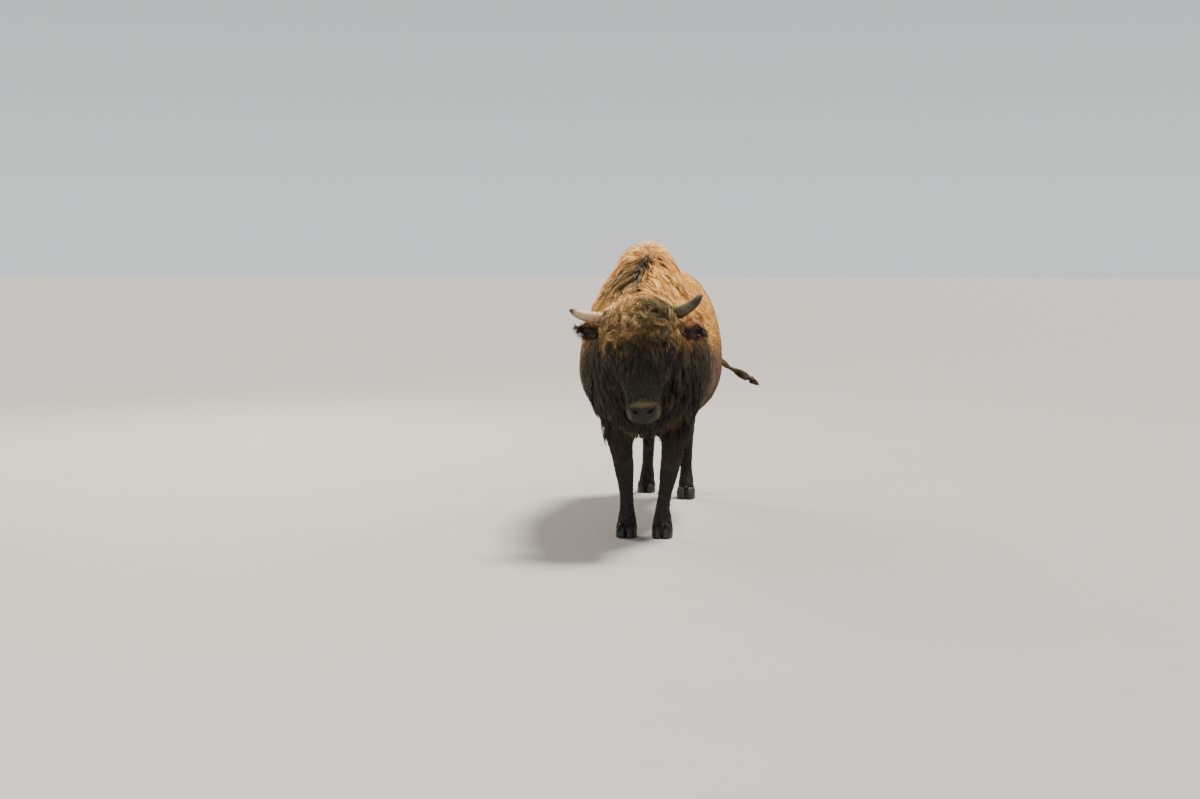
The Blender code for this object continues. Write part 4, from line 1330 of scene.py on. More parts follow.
@dataclass
class CoatBuilder:
    """Grows the locks of the coat over the skin and joins them into pieces.

    Where a trait varies, the first of its two numbers is for whole wisps and the second for single locks, or the two
    are the least and the most.
    """

    skin: Skin
    horns: "Horns"
    sink: float = 0.004
    patch: float = 0.003
    strewn: float = 0.016
    legs_split_y: float = 0.1
    wisp_length: Span = (0.75, 1.15)
    lock_length: Span = (0.8, 1.08)
    lock_depth: Span = (0.82, 1.0)
    shag: Span = (0.93, 0.8)
    veer: Span = (0.9, 0.4)
    veer_lost: float = 0.4
    rise_speed: float = 1.35
    tip_sink: float = 0.25
    hang_height: float = 0.3
    hang_forward: float = 1.15
    hang_down: Span = (0.1, 0.75)
    hang_out: float = 0.2
    wisp_wave: Span = (0.4, 1.3)
    lock_wave: Span = (0.8, 1.2)
    lock_turns: Span = (0.75, 1.25)
    phase: float = 0.35
    curl_height: float = 0.45
    gathering: Span = (0.3, 1.0)
    gather_reach: float = 0.06
    gather_power: float = 1.3
    lock_width: Span = (0.4, 1.3)
    profile: Four = (1.75, 0.12, 0.35, 0.75)
    thickness: float = 0.85
    roll: float = 0.45
    wisp_tone: Four = (-0.1, 0.75, -1.6, 1.4)
    lock_tone: Span = (0.12, 0.65)
    mottle_scales: Span = (105.0, 190.0)
    brightest: float = 0.95
    hoof_top: float = 0.115
    ground_gap: float = 0.004
    clear_of_hoof: float = 0.0022
    clear_of_horn: float = 0.01
    horn_root: float = 0.04
    eye_root: float = 0.024
    eye_zone: float = 0.085
    eye_gap: float = 0.0235

    def __post_init__(self) -> None:
        """Make a search tree over the claws."""
        self.hoof_tree = search_tree(CLAWS)[0]

    def build(self, piece: LockPiece, material: Material) -> int:
        """Grow one piece.

        Args:
            piece: The piece to grow.
            material: The finish of the hair.

        Returns:
            Its number of triangles.
        """
        rng = np.random.default_rng(piece.seed)
        roots = self.roots(piece, rng)
        roots["leader"] = self.leaders(roots, rng)
        paths, ups = self.paths(roots, piece.steps, rng)
        points = self.bodies(paths, ups, roots, rng)
        faces = self.lock_faces(len(paths), piece.steps)
        mesh = new_mesh(piece.name, points, faces)
        add_colour(mesh, self.colours(paths, roots, rng))
        self.add_strands(mesh, roots, piece.steps)
        show(piece.name, mesh, material)
        return sum(len(block) * (block.shape[1] - 2) for block in faces)

    def density(self, piece: LockPiece) -> Array:
        """How many locks of a piece each triangle of the skin should grow.

        Args:
            piece: The piece of coat.

        Returns:
            A number for every triangle.
        """
        skin, coat_map = self.skin, self.skin.coat_map
        faces, corner = skin.faces, skin.points[skin.faces]
        area = np.linalg.norm(np.cross(corner[:, 1] - corner[:, 0], corner[:, 2] - corner[:, 0]), axis=1) / 2.0
        middle = Places(corner.mean(axis=1), unit(skin.normals[faces].mean(axis=1)), skin.flesh[faces].mean(axis=1))
        shares = coat_map.shares(middle)
        names = [coat.name for coat in coat_map.coats]
        numbers = [names.index(name) for name in piece.coats]
        density = sum(shares[:, number] / coat_map.coats[number].spacing ** 2 for number in numbers)
        density *= area * (1.0 - skin.bare[faces].mean(axis=1))
        density = np.maximum(density, 0.0)
        if piece.side in (Side.LEFT, Side.RIGHT):
            density *= (middle.points[:, 0] - MIDDLE_X) * SIDES[piece.side.value] > 0.0
        elif piece.side in (Side.FORE, Side.HIND):
            hind = middle.points[:, 1] > self.legs_split_y
            density *= hind if piece.side is Side.HIND else ~hind
        return density

    def roots(self, piece: LockPiece, rng: Random) -> Roots:
        """Choose where the locks of a piece grow, with all that they take from the skin there.

        Args:
            piece: The piece of coat.
            rng: Source of the random draws.

        Returns:
            One row for every lock under each name.
        """
        skin, coat_map = self.skin, self.skin.coat_map
        density = self.density(piece)
        count = min(int(density.sum()), MOST_TRIANGLES // (6 * (piece.steps - 1) + 4))
        chosen = rng.choice(len(skin.faces), count, p=density / density.sum())
        first, second = rng.random(count), rng.random(count)
        over = first + second > 1.0
        first, second = np.where(over, 1.0 - first, first), np.where(over, 1.0 - second, second)
        weight = np.stack((1.0 - first - second, first, second), axis=1)[:, :, None]
        faces = skin.faces[chosen]
        at, normal, flesh, flow = ((rows[faces] * weight).sum(axis=1)
                                   for rows in (skin.points, skin.normals, skin.flesh, skin.flow))
        normal = unit(normal)
        uv = (skin.corner_uv[chosen] * weight).sum(axis=1)
        places = Places(at, normal, flesh)
        shares = coat_map.shares(places)
        found = {"at": at, "normal": normal, "flow": unit(flow), "uv": uv}
        for name in TRAITS:
            found[name] = coat_map.blend(shares, name)
        strewn = coat_map.shares(Places(at + rng.normal(0.0, self.strewn, at.shape), normal, flesh))
        found["root"], found["tip"] = coat_map.blend(strewn, "root"), coat_map.blend(strewn, "tip")
        keep = (self.horns.nearest(at)[0] > self.horn_root) & (places.measure("e") > self.eye_root)
        return {name: value[keep] for name, value in found.items()}

    def leaders(self, roots: Roots, rng: Random) -> Array:
        """Choose the lock that each lock keeps to, so that they run together in wisps.

        Args:
            roots: What the locks take from the skin.
            rng: Source of the random draws.

        Returns:
            A lock's number for every lock.
        """
        count = len(roots["at"])
        heads = np.flatnonzero(rng.random(count) < roots["wisp"])
        if len(heads) < 2:
            return np.arange(count)
        tree = KDTree(len(heads))
        for order, index in enumerate(heads.tolist()):
            tree.insert(roots["at"][index], order)
        tree.balance()
        return np.array([heads[tree.find(place)[1]] for place in roots["at"].tolist()])

    def face_at(self, points: Array) -> tuple[Array, Array]:
        """Nearest skin face and place of every point."""
        find = self.skin.tree.find_nearest
        found = [find(point) for point in points.tolist()]
        return np.array([hit[2] for hit in found]), np.array([tuple(hit[0]) for hit in found])

    def paths(self, roots: Roots, steps: int, rng: Random) -> tuple[Array, Array]:
        """Lead each lock from its root over the skin to its tip.

        Args:
            roots: What the roots carry.
            steps: Steps along a lock.
            rng: Source of the small differences.

        Returns:
            Points of every lock, and the direction away from the skin at each of them.
        """
        count, leader, skin = len(roots["at"]), roots["leader"], self.skin
        length = roots["length"] * rng.uniform(*self.wisp_length, count)[leader] * rng.uniform(*self.lock_length, count)
        shag = self.shag[0] + self.shag[1] * roots["patchy"] * rng.uniform(-1.0, 1.0, count)[leader]
        depth = roots["depth"] * roots["rise"] * shag * rng.uniform(*self.lock_depth, count)
        lift = roots["lift"] * rng.uniform(0.0, 1.0, count)[leader]
        veer, own = self.veer
        angle = roots["stray"] * (rng.normal(0.0, veer, count)[leader] + rng.normal(0.0, own, count))
        flow = roots["flow"]
        across = np.cross(roots["normal"], flow)
        flow = unit(flow * np.cos(angle)[:, None] + across * np.sin(angle)[:, None])
        path = np.empty((count, steps + 1, 3))
        ups = np.empty((count, steps + 1, 3))
        path[:, 0] = roots["at"] - roots["normal"] * self.sink
        ups[:, 0] = roots["normal"]
        surface, hanging = roots["at"].copy(), roots["at"] + roots["normal"] * depth[:, None] * self.hang_height
        free = roots["free"][:, None]
        lead = flow - skin.flow[skin.faces[self.face_at(roots["at"])[0]]].mean(axis=1)
        first, fall = flow.copy(), roots["fall"]
        for step in range(1, steps + 1):
            share = step / steps
            surface = surface + flow * (length / steps)[:, None]
            index, surface = self.face_at(surface)
            corners = skin.faces[index]
            normal = unit(skin.normals[corners].mean(axis=1))
            flow = skin.flow[corners].mean(axis=1) + lead * (1.0 - self.veer_lost * share)
            flow = unit(flow - normal * np.sum(flow * normal, axis=1, keepdims=True))
            rise = math.sin(math.pi / 2.0 * min(1.0, share * self.rise_speed))
            height = depth * rise * (1.0 - self.tip_sink * share ** 3)
            lying = surface + normal * (height + lift * share ** 2)[:, None]
            down = self.hang_down[0] + self.hang_down[1] * share
            heading = unit(first * (self.hang_forward - share) + fall * down + normal * self.hang_out * (1.0 - share))
            hanging = hanging + heading * (length / steps)[:, None]
            path[:, step] = lying * (1.0 - free) + hanging * free
            ups[:, step] = normal
        self.curl(path, ups, roots, rng)
        self.gather(path, roots, rng)
        self.clear_hooves(path)
        path[:, 1:-1] = 0.25 * path[:, :-2] + 0.5 * path[:, 1:-1] + 0.25 * path[:, 2:]
        self.keep_clear(path)
        return path, ups

    def curl(self, path: Array, ups: Array, roots: Roots, rng: Random) -> None:
        """Bend the locks from side to side and up and down, alike within a wisp."""
        (count, rings), leader = path.shape[:2], roots["leader"]
        phase = rng.uniform(0.0, 2.0 * math.pi, count)[leader] + rng.normal(0.0, self.phase, count)
        size = roots["wave"] * rng.uniform(*self.wisp_wave, count)[leader] * rng.uniform(*self.lock_wave, count)
        turns = roots["turns"] * rng.uniform(*self.lock_turns, count)[leader]
        along = unit(np.gradient(path, axis=1))
        side = unit(np.cross(ups, along))
        for ring in range(1, rings):
            share = ring / (rings - 1)
            swing = phase + 2.0 * math.pi * turns * share
            reach = (size * min(1.0, share * 2.0))[:, None]
            path[:, ring] += side[:, ring] * (np.sin(swing) - np.sin(phase) * (1.0 - share))[:, None] * reach
            path[:, ring] += ups[:, ring] * (np.cos(swing) * self.curl_height)[:, None] * reach

    def gather(self, path: Array, roots: Roots, rng: Random) -> None:
        """Draw the locks of a wisp together towards their tips."""
        leader = roots["leader"]
        reach = np.linalg.norm(roots["at"][leader] - roots["at"], axis=1)
        pull = roots["clump"] * rng.uniform(*self.gathering, len(path)) * (reach < self.gather_reach)
        share = np.linspace(0.0, 1.0, path.shape[1]) ** self.gather_power
        path += (path[leader] - path) * (pull[:, None] * share[None, :])[:, :, None]

    def clear_hooves(self, path: Array) -> None:
        """Lay the hair of the feet over the claws.

        Args:
            path: Points along every lock, changed in place.
        """
        flat = path.reshape(-1, 3)
        low = np.flatnonzero(flat[:, 2] < self.hoof_top)
        for index in low.tolist():
            foot, normal, _, _ = self.hoof_tree.find_nearest(flat[index].tolist())
            depth = float((flat[index] - np.array(foot)) @ np.array(normal))
            if depth < self.clear_of_hoof:
                flat[index] = np.array(foot) + np.array(normal) * self.clear_of_hoof
        flat[low, 2] = np.maximum(flat[low, 2], self.ground_gap)

    def keep_clear(self, path: Array) -> None:
        """Push the locks out of the horns and away from the eyes.

        Args:
            path: Points along every lock, changed in place.
        """
        flat = path.reshape(-1, 3)
        flat[:] = self.horns.pushed(flat, self.clear_of_horn)
        for side, eye in EYES.items():
            gaze = eye_axes(side)[0]
            away = flat - eye
            ahead = away @ gaze
            aside = away - gaze * ahead[:, None]
            gap = np.linalg.norm(aside, axis=1)
            close = (np.linalg.norm(away, axis=1) < self.eye_zone) & (ahead > 0.004) & (gap < self.eye_gap)
            drawn = eye + gaze * ahead[:, None] + aside * (self.eye_gap / np.maximum(gap, 0.002))[:, None]
            flat[close] = drawn[close]

    def bodies(self, path: Array, ups: Array, roots: Roots, rng: Random) -> Array:
        """Vertices of the locks: a tapering three-sided body along each path.

        Args:
            path: Points of every lock.
            ups: Direction away from the skin at each of them.
            roots: What the roots carry.
            rng: Source of the small differences.

        Returns:
            Three vertices for every step of a lock and one for its tip, lock after lock.
        """
        count, steps = len(path), path.shape[1] - 1
        share = np.arange(steps) / steps
        swell, start, growth, taper = self.profile
        profile = swell * (share + start) ** growth * (1.0 - share) ** taper
        width = roots["width"] * rng.uniform(*self.lock_width, count)
        half = (0.5 * width[:, None] * profile[None, :])[..., None]
        along = unit(np.gradient(path, axis=1))[:, :steps]
        side = unit(np.cross(ups[:, :steps], along))
        over = np.cross(along, side)
        roll = rng.normal(0.0, self.roll, count)
        cos, sin = np.cos(roll)[:, None, None], np.sin(roll)[:, None, None]
        side, over = side * cos + over * sin, over * cos - side * sin
        body = path[:, :steps]
        rings = np.stack((body - side * half, body + side * half, body + over * half * self.thickness), axis=2)
        return np.concatenate((rings.reshape(count, -1, 3), path[:, steps:]), axis=1).reshape(-1, 3)

    def lock_faces(self, count: int, steps: int) -> list[Array]:
        """Quads along the three sides of every lock, and triangles at its root and tip."""
        base = (np.arange(count) * (3 * steps + 1))[:, None, None]
        quads, ends, top = [], [(0, 2, 1)], 3 * (steps - 1)
        for first, second in ((0, 1), (1, 2), (2, 0)):
            quads += [(low + first, low + second, low + 3 + second, low + 3 + first) for low in range(0, top, 3)]
            ends.append((top + first, top + second, 3 * steps))
        return [(np.array(quads)[None] + base).reshape(-1, 4), (np.array(ends)[None] + base).reshape(-1, 3)]

    def colours(self, path: Array, roots: Roots, rng: Random) -> Array:
        """Colours of the locks' vertices, from root to tip, each wisp and lock a little lighter or darker.

        Args:
            path: Points along every lock.
            roots: What the locks take from the skin.
            rng: Source of the random draws.

        Returns:
            Colours as (locks, points, 3).
        """
        count, steps, patchy = len(path), path.shape[1] - 1, roots["patchy"]
        middle, spread, least, most = self.wisp_tone
        tone = np.exp(patchy * np.clip(rng.normal(middle, spread, count), least, most)[roots["leader"]])
        tone *= 1.0 + (self.lock_tone[0] + self.lock_tone[1] * patchy) * rng.uniform(-1.0, 1.0, count)
        tone = (tone * (1.0 + 0.4 * rng.random(count) ** 6))[:, None, None]
        drift = rng.normal(0.0, self.strewn * 0.5, (count, 3))
        wide, fine = self.mottle_scales
        colour = np.empty((count, steps + 1, 3))
        for ring in range(steps + 1):
            root, tip = self.skin.coat_map.marked_and_lit(roots["root"], roots["tip"], path[:, ring] + drift)
            mixed = (ring / steps) ** 0.8
            spot = path[:, ring] + drift * 0.4
            mottle = roots["mottle"] * (0.6 * wander(spot, wide) + 0.5 * wander(spot[:, ::-1] + 0.4, fine) - 0.25)
            colour[:, ring] = (root * (1.0 - mixed) + tip * mixed) * np.exp(mottle)[:, None]
        colour = np.concatenate((np.repeat(colour[:, :steps], 3, axis=1), colour[:, steps:]), axis=1)
        return np.clip(colour * tone, 0.0, self.brightest).reshape(-1, 3)

    def add_strands(self, mesh: Mesh, roots: Roots, steps: int) -> None:
        """Store each vertex's place on its lock for the finish, and its place on the bake's map.

        Args:
            mesh: Mesh of the locks.
            roots: What the locks take from the skin.
            steps: Points along a lock, less one.
        """
        count = len(roots["at"])
        level = np.concatenate((np.repeat(np.arange(steps) / steps, 3), (1.0,)))
        lateral = np.concatenate((np.tile((-1.0, 1.0, 0.0), steps), (0.0,)))
        lift = np.concatenate((np.tile((0.0, 0.0, 0.12), steps), (0.0,)))
        strand = np.empty((count, 3 * steps + 1, 3))
        strand[:, :, 0] = lateral * 0.5
        strand[:, :, 1] = level * (roots["length"] * 40.0)[:, None]
        strand[:, :, 2] = (np.arange(count) % 997)[:, None] * 1.7
        add_values(mesh, STRAND_LAYER, strand.reshape(-1, 3))
        uv = np.stack((roots["uv"][:, :1] + self.patch * 0.5 * lateral,
                       roots["uv"][:, 1:] + self.patch * (level + lift - 0.5)), axis=-1)
        add_uv(mesh, uv.reshape(-1, 2))


def catmull(route: Array, count: int) -> Array:
    """Points along a smooth curve through a route.

    Args:
        route: Points that the curve passes through.
        count: Number of points to return.

    Returns:
        The points, evenly spread over the route's parts.
    """
    padded = np.vstack((2.0 * route[0] - route[1], route, 2.0 * route[-1] - route[-2]))
    at = np.linspace(0.0, len(route) - 1 - 1e-9, count)
    index, part = at.astype(int), (at % 1.0)[:, None]
    before, first, second, after = (padded[index + step] for step in range(4))
    bend = 2.0 * before - 5.0 * first + 4.0 * second - after
    turn = 3.0 * first - before - 3.0 * second + after
    return 0.5 * (2.0 * first + (second - before) * part + bend * part ** 2 + turn * part ** 3)


@dataclass(frozen=True)
class HornShape:
    """Bend and colours of one horn."""

    rise: float
    reach: float
    sag: float
    fullness: float
    base: Colour
    middle: Colour
    dark: Span


HORN_SHAPES = {
    # The left horn's colours are darker than the right's: partly grime, partly painted shade, the horn as it looks in
    # shadow.
    "left": HornShape(0.86, 0.95, 0.014, 2.8, (0.036, 0.032, 0.014), (0.092, 0.077, 0.03), (0.52, 0.8)),
    "right": HornShape(0.52, 1.05, 0.007, 2.2, (0.28, 0.17, 0.098), (0.49, 0.32, 0.185), (0.72, 0.93)),
}


@dataclass
class Horns:
    """The two horns: ridged at the base, smooth and dark at the tip.

    The route gives, for each point of a centre line, how far out to the side it lies, its shares of the rise and the
    sag, and how far out of the face it lies. The first points lie in the head, the same for both horns.
    """

    base_radius: float = 0.039
    tip_radius: float = 0.006
    taper: float = 0.66
    poll: float = 0.08
    route_in_head: int = 2
    route: tuple[Four, ...] = (
        (0.125, 0.0, 0.0, -0.01), (0.205, 0.004, 0.5, 0.005), (0.274, 0.03, 1.0, 0.022),
        (0.334, 0.066, 0.8, 0.03), (0.376, 0.108, 0.0, 0.026))
    stations: int = 90
    ring: int = 36
    ridges: float = 11.0
    ridge_height: float = 0.0013
    ridge_end: Span = (0.62, 0.3)
    wobble: float = 0.022
    oval: float = 0.93
    tip: Colour = (0.026, 0.015, 0.014)
    tip_cap: Colour = (0.03, 0.02, 0.016)
    root_cap: Colour = (0.2, 0.17, 0.12)

    def __post_init__(self) -> None:
        """Lay out both centre lines."""
        self.lines = {side: catmull(self.through(side), self.stations) for side in SIDES}
        share = np.linspace(0.0, 1.0, self.stations)
        swell = self.base_radius - self.tip_radius
        self.radii = {side: self.tip_radius + swell * (1.0 - share ** shape.fullness) ** self.taper
                      for side, shape in HORN_SHAPES.items()}

    def through(self, side: str) -> Array:
        """Points that a horn's centre line passes through."""
        shape = HORN_SHAPES[side]
        return HEAD.world([
            (SIDES[side] * (across * (shape.reach if index >= self.route_in_head else 1.0)),
             self.poll - rise * shape.rise + sag * shape.sag, out)
            for index, (across, rise, sag, out) in enumerate(self.route)])

    def nearest(self, points: Array) -> tuple[Array, Array, Array]:
        """Distance from the nearest centre line, the place on it and the horn's radius there."""
        best = np.full(len(points), np.inf)
        foot, radius = np.zeros_like(points), np.zeros(len(points))
        for side, line in self.lines.items():
            for index in range(0, self.stations, 3):
                gap = np.linalg.norm(points - line[index], axis=1)
                closer = gap < best
                best = np.where(closer, gap, best)
                foot[closer] = line[index]
                radius[closer] = self.radii[side][index]
        return best, foot, radius

    def pushed(self, points: Array, margin: float) -> Array:
        """Move points that lie in a horn out of it."""
        gap, foot, radius = self.nearest(points)
        out = foot + unit(points - foot) * (radius + margin)[:, None]
        return np.where((gap < radius + margin)[:, None], out, points)

    def colours(self, side: str, share: Array, under: Array) -> Array:
        """Colour along a horn, with painted shade on its under side and a little darkening near the base."""
        shape = HORN_SHAPES[side]
        base, middle = np.array(shape.base), np.array(shape.middle)
        dark = ramp(share, *shape.dark)[:, None]
        body = base + (middle - base) * ramp(share, 0.25, 0.6)[:, None]
        # Painted shade darkens the under side; the base is also a little darker.
        underside_shade_and_base_darkening = 0.55 * ramp(under, -0.2, 0.9) + 0.1 * ramp(share, 0.4, 0.28)
        return (body * (1.0 - dark) + np.array(self.tip) * dark) * (1.0 - underside_shade_and_base_darkening)[:, None]

    def build(self) -> None:
        """Make and dress both horns."""
        material = HornFinish("horn_sheath").material()
        share = np.linspace(0.0, 1.0, self.stations)
        angle = np.linspace(0.0, 2.0 * math.pi, self.ring, endpoint=False)
        station, around = np.repeat(share, self.ring), np.tile(angle, self.stations)
        turns = 2.0 * math.pi * self.ridges
        ridge = np.sin(turns * share ** 1.15) + 0.4 * np.sin(2.3 * turns * share)
        wobble = 1.0 + self.wobble * np.sin(3.0 * angle[None, :] + 5.0 * share[:, None])
        for side, line in self.lines.items():
            name = f"horn_{side}"
            along = unit(np.gradient(line, axis=0))
            across = unit(np.cross(along, HEAD.rows[1]))[:, None]
            over = np.cross(across, along[:, None])
            radius = self.radii[side] + self.ridge_height * ridge * ramp(share, *self.ridge_end)
            size = (radius[:, None] * wobble)[..., None]
            rings = line[:, None] + across * (size * np.cos(angle)[:, None])
            rings = (rings + over * (size * (self.oval * np.sin(angle))[:, None])).reshape(-1, 3)
            end = line[-1] + along[-1] * radius[-1] * 0.9
            mesh = new_mesh(name, np.vstack((rings, line[0], end)), tube_faces(self.stations, self.ring))
            # How far each vertex lies below the centre line, for the painted shade of the under side.
            under = (np.repeat(line[:, 2], self.ring) - rings[:, 2]) / np.repeat(radius, self.ring)
            add_colour(mesh, np.vstack((self.colours(side, station, under), self.root_cap, self.tip_cap)))
            strand = np.stack((np.cos(around), station, np.sin(around)), axis=1) * (0.35, 1.0, 0.35)
            add_values(mesh, STRAND_LAYER, np.vstack((strand, (0.0, 0.0, 0.0), (0.0, 1.0, 0.0))))
            show(name, mesh, material, (name,))
            LOG.info("%s built", name)


@dataclass
class Eyeballs:
    """Two wet eyes with a dark iris and a lying pupil."""

    radius: float = 0.0206
    cornea: float = 0.0016
    cornea_edge: Span = (0.7, 0.15)
    iris: float = 0.0152
    iris_colour: Colour = (0.014, 0.007, 0.004)
    iris_edge: Span = (-0.0006, 0.0012)
    limbus: Span = (0.85, 0.0013)
    pupil: Span = (0.0068, 0.0036)
    pupil_colour: Colour = (0.003, 0.003, 0.004)
    white: Colour = (0.034, 0.023, 0.018)
    white_shade: Colour = (0.012, 0.008, 0.006)
    rings: int = 56
    sectors: int = 72

    def build(self) -> None:
        """Make and dress both eyes."""
        material = EyeFinish().material()
        polar = np.linspace(0.0, math.pi, self.rings + 1)[1:-1]
        turn = np.linspace(0.0, 2.0 * math.pi, self.sectors, endpoint=False)
        theta, phi = np.meshgrid(polar, turn, indexing="ij")
        size = self.radius + self.cornea * ramp(theta, *self.cornea_edge)
        ball = np.stack((size * np.sin(theta) * np.cos(phi), size * np.sin(theta) * np.sin(phi),
                         size * np.cos(theta)), axis=-1).reshape(-1, 3)
        ball = np.vstack((ball, (0.0, 0.0, self.radius + self.cornea), (0.0, 0.0, -self.radius)))
        for side in SIDES:
            name = f"eye_{side}"
            gaze, along, over = eye_axes(side)
            points = EYES[side] + ball @ np.stack((along, over, gaze))
            mesh = new_mesh(name, points, tube_faces(self.rings - 1, self.sectors))
            add_colour(mesh, self.colours(ball))
            show(name, mesh, material, (name,))
            LOG.info("%s built", name)

    def colours(self, ball: Array) -> Array:
        """Pupil, iris, its dark edge and the white of the eye.

        Args:
            ball: Places from the eyeball's centre, the gaze last.

        Returns:
            One colour for every place.
        """
        reach = np.linalg.norm(ball[:, :2], axis=1)
        front = ball[:, 2] > 0.0
        hole = np.linalg.norm(ball[:, :2] / np.array(self.pupil), axis=1)
        spokes = 0.85 + 0.15 * np.sin(18.0 * np.arctan2(ball[:, 1], ball[:, 0]))
        iris = np.array(self.iris_colour) * spokes[:, None] * (0.6 + 0.6 * ramp(reach, 0.004, 0.01))[:, None]
        white = np.array(self.white) * (1.0 - 0.7 * ramp(reach, 0.0155, 0.019))[:, None] + np.array(self.white_shade)
        share = (ramp(reach, *(self.iris + off for off in self.iris_edge)) * front + ~front)[:, None]
        colour = iris * (1.0 - share) + white * share
        strength, width = self.limbus
        colour = colour * (1.0 - strength * (bell(reach, self.iris, width) * front)[:, None])
        dark = (ramp(hole, 1.08, 0.92) * front)[:, None]
        return colour * (1.0 - dark) + np.array(self.pupil_colour) * dark


@dataclass
class Hooves:
    """Hooves and dewclaws: the frame's shapes drawn finer, with growth rings and worn edges."""

    voxel: float = 0.0042
    dewclaw_share: float = 0.55
    rounds: int = 4
    sole: float = 0.6
    ring_pitch: float = 0.0085
    ring_height: float = 0.0003
    wall: tuple[Span, Span] = ((0.004, 0.01), (0.8, 0.4))
    closing: float = 0.46
    closing_most: float = 0.008
    point: Span = (0.55, 0.6)
    point_drop: float = 0.008
    colour: Colour = (0.013, 0.011, 0.009)
    edge: Colour = (0.034, 0.028, 0.022)
    edge_height: Span = (0.02, 0.003)
    strand_scale: Way = (9.0, 9.0, 3.0)

    def build(self) -> None:
        """Make and dress every hoof and dewclaw."""
        material = HornFinish("hoof_wall", (0.42, 0.62), 18.0, coat=0.05).material()
        for name in CLAWS:
            self.one(name, material)
        LOG.info("hooves and dewclaws built")

    def one(self, name: str, material: Material) -> None:
        """Draw one claw finer and dress it.

        Args:
            name: Node of the claw.
            material: Finish of the horn.
        """
        hoof = name.startswith("hoof_")
        mesh = wrapped(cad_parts[name].data.copy(), self.voxel if hoof else self.voxel * self.dewclaw_share)
        points, edges, faces = read_mesh(mesh)
        low = points[:, 2].min()
        flat = points[:, 2] < low + self.voxel * self.sole
        points = spread_over(edges, points, self.rounds, 0.5)
        points = self.fitted(name, points, flat) if hoof else self.pointed(points, low)
        height = points[:, 2] - low
        normals = vertex_normals(points, faces)
        wall = ramp(height, *self.wall[0]) * ramp(np.abs(normals[:, 2]), *self.wall[1])
        ridge = np.sin(2.0 * math.pi * (height / self.ring_pitch + 9.0 * points[:, 1]))
        points += normals * (self.ring_height * ridge * wall)[:, None]
        write_points(mesh, points)
        smooth(mesh)
        worn = ramp(height, *self.edge_height)[:, None] * 0.8
        tone = (1.0 + 0.25 * ridge * wall)[:, None]
        add_colour(mesh, (np.array(self.colour) * (1.0 - worn) + np.array(self.edge) * worn) * tone)
        add_values(mesh, STRAND_LAYER, (points - points.mean(axis=0)) * self.strand_scale)
        mesh.materials.clear()
        show(name + "_wall", mesh, material, (name,))

    def fitted(self, name: str, points: Array, flat: Array) -> Array:
        """Stretch a claw back to its full box, and a little towards the other claw of the foot.

        Args:
            name: Node of the claw.
            points: Its vertices.
            flat: Which of them stand on the sole.

        Returns:
            The moved vertices.
        """
        box = np.array([tuple(corner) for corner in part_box(name)])
        own = np.array((points.min(axis=0), points.max(axis=0)))
        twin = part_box(name.replace("inner", "outer") if "inner" in name else name.replace("outer", "inner"))
        towards = 1 if np.mean(twin, axis=0)[0] > box[:, 0].mean() else 0
        gap = abs(twin[1 - towards][0] - box[towards, 0])
        box[towards, 0] += (2 * towards - 1) * min(self.closing * gap, self.closing_most)
        points = box[0] + (points - own[0]) * (box[1] - box[0]) / (own[1] - own[0])
        points[flat, 2] = box[0, 2]
        return points

    def pointed(self, points: Array, low: float) -> Array:
        """Draw a dewclaw to a blunt point at its lower end.

        Args:
            points: Vertices of the dewclaw.
            low: Height of its lower end.

        Returns:
            The moved vertices.
        """
        middle = points.mean(axis=0)
        share = ((points[:, 2] - low) / (points[:, 2].max() - low))[:, None]
        narrow = np.column_stack([least + (1.0 - least) * share for least in self.point])
        points[:, :2] = middle[:2] + (points[:, :2] - middle[:2]) * narrow
        points[:, 2] -= self.point_drop * (1.0 - share[:, 0]) ** 2
        return points


class LampKind(Enum):
    """Kinds of light."""

    SUN = "SUN"
    PANEL = "AREA"


@dataclass(frozen=True)
class Lamp:
    """One soft light. The size of a sun is the angle that it fills."""

    name: str
    kind: LampKind
    place: Way
    target: Way
    power: float
    size: float
    colour: Colour

    def hang(self) -> None:
        """Put the light into the scene."""
        data = bpy.data.lights.new(self.name, self.kind.value)
        data.energy = self.power
        data.color = self.colour
        setattr(data, "angle" if self.kind is LampKind.SUN else "size", self.size)
        lamp = link(self.name, data)
        lamp.location = self.place
        lamp.rotation_euler = (Vector(self.target) - Vector(self.place)).to_track_quat("-Z", "Y").to_euler()


LAMPS: tuple[Lamp, ...] = (
    Lamp("key", LampKind.SUN, (2.6, 2.0, 8.0), (0.0, 0.0, 0.0), 11.6, math.radians(14.0), (1.0, 0.93, 0.82)),
    Lamp("rim", LampKind.PANEL, (-5.0, 5.0, 5.4), (0.0, 0.0, 1.1), 900.0, 3.0, (1.0, 0.84, 0.66)),
    Lamp("fill", LampKind.PANEL, (-3.0, -8.0, 4.6), (-0.05, -0.8, 1.0), 230.0, 1.6, (1.0, 0.98, 0.95)),
)


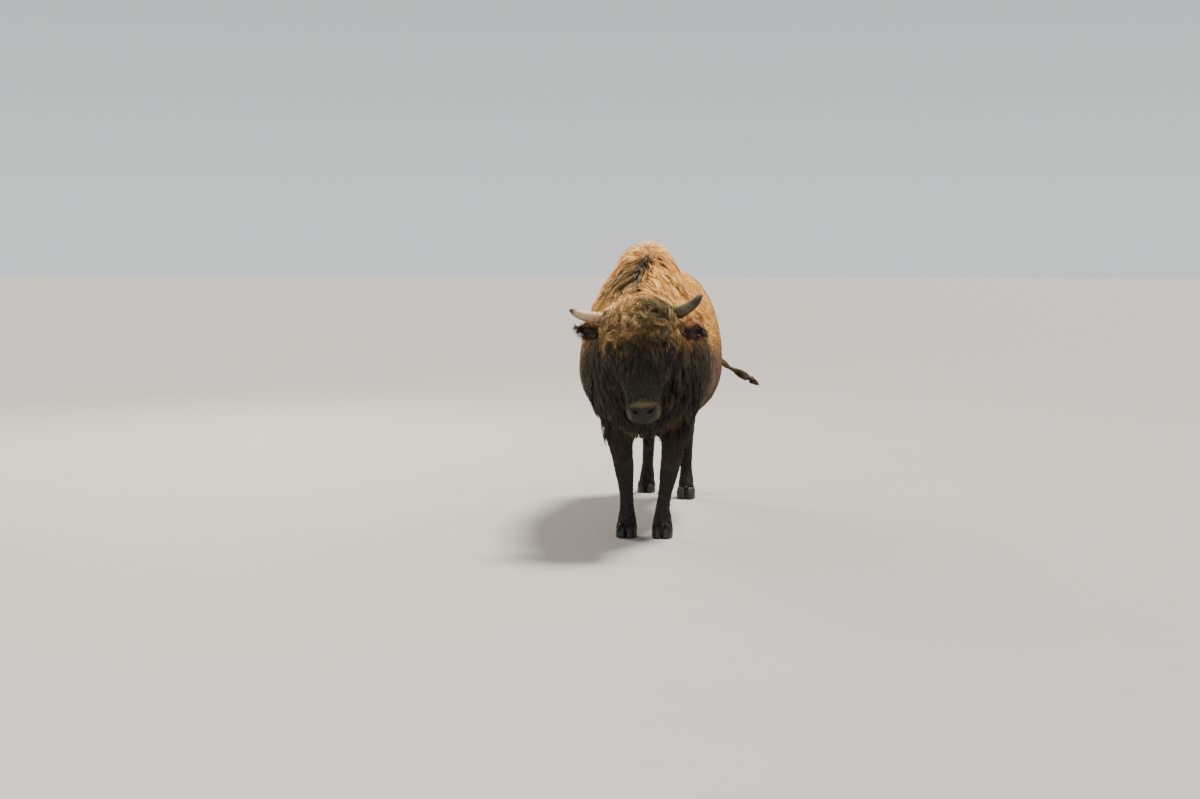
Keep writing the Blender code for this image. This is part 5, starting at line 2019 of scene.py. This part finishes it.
@dataclass(frozen=True)
class Studio:
    """Floor, soft lights, an even sky and the camera in front of the animal."""

    camera_place: Way = (0.738, -10.469, 1.8)
    yaw: float = math.radians(6.3)
    pitch: float = math.radians(5.65)
    lens: float = 50.0
    sensor: float = 36.0
    clip_end: float = 200.0
    floor_half: float = 60.0
    sky_colour: Rgba = (0.8, 0.81, 0.83, 1.0)
    sky_strength: float = 0.62
    horizon_strength: float = 1.08
    horizon_reach: float = 0.3

    def build(self) -> None:
        """Set up the studio."""
        self.floor()
        for lamp in LAMPS:
            lamp.hang()
        self.sky()
        self.camera()

    def camera(self) -> None:
        """Set up the camera."""
        data = bpy.data.cameras.new("camera")
        data.lens = self.lens
        data.sensor_width = self.sensor
        data.clip_end = self.clip_end
        camera = link("camera", data)
        ahead = Vector((-math.sin(self.yaw) * math.cos(self.pitch), math.cos(self.yaw) * math.cos(self.pitch),
                        -math.sin(self.pitch)))
        camera.location = self.camera_place
        camera.rotation_euler = ahead.to_track_quat("-Z", "Y").to_euler()
        bpy.context.scene.camera = camera

    def sky(self) -> None:
        """Light the room softly from all round, as bright at the horizon as the floor."""
        world = bpy.data.worlds.new("studio")
        world.use_nodes = True
        tree = world.node_tree
        background = tree.nodes["Background"]
        background.inputs["Color"].default_value = self.sky_colour
        place = tree.nodes.new("ShaderNodeTexCoord")
        parts = tree.nodes.new("ShaderNodeSeparateXYZ")
        fade = tree.nodes.new("ShaderNodeMapRange")
        fade.inputs["From Max"].default_value = self.horizon_reach
        fade.inputs["To Min"].default_value = self.horizon_strength
        fade.inputs["To Max"].default_value = self.sky_strength
        tree.links.new(place.outputs["Generated"], parts.inputs["Vector"])
        tree.links.new(parts.outputs["Z"], fade.inputs["Value"])
        tree.links.new(fade.outputs["Result"], background.inputs["Strength"])
        bpy.context.scene.world = world

    def floor(self) -> None:
        """Lay the floor."""
        side = self.floor_half
        points = np.array(((-side, -side, 0.0), (side, -side, 0.0), (side, side, 0.0), (-side, side, 0.0)))
        mesh = new_mesh("floor", points, [np.array(((0, 1, 2, 3),))])
        mesh.materials.append(FloorFinish().material())
        link("floor", mesh)


def main() -> None:
    """Build the pieces in order."""
    logging.basicConfig(level=logging.INFO, format="%(asctime)s %(message)s")
    Studio().build()
    skin = Skin(CoatMap())
    skin.build()
    LOG.info("skin built with %d triangles", len(skin.faces))
    horns = Horns()
    horns.build()
    Eyeballs().build()
    Hooves().build()
    fur = FurFinish().material()
    builder = CoatBuilder(skin, horns)
    total = 0
    for piece in PIECES:
        count = builder.build(piece, fur)
        total += count
        LOG.info("%s built with %d triangles", piece.name, count)
    LOG.info("coat has %d triangles", total)


if __name__ == "__main__":
    main()
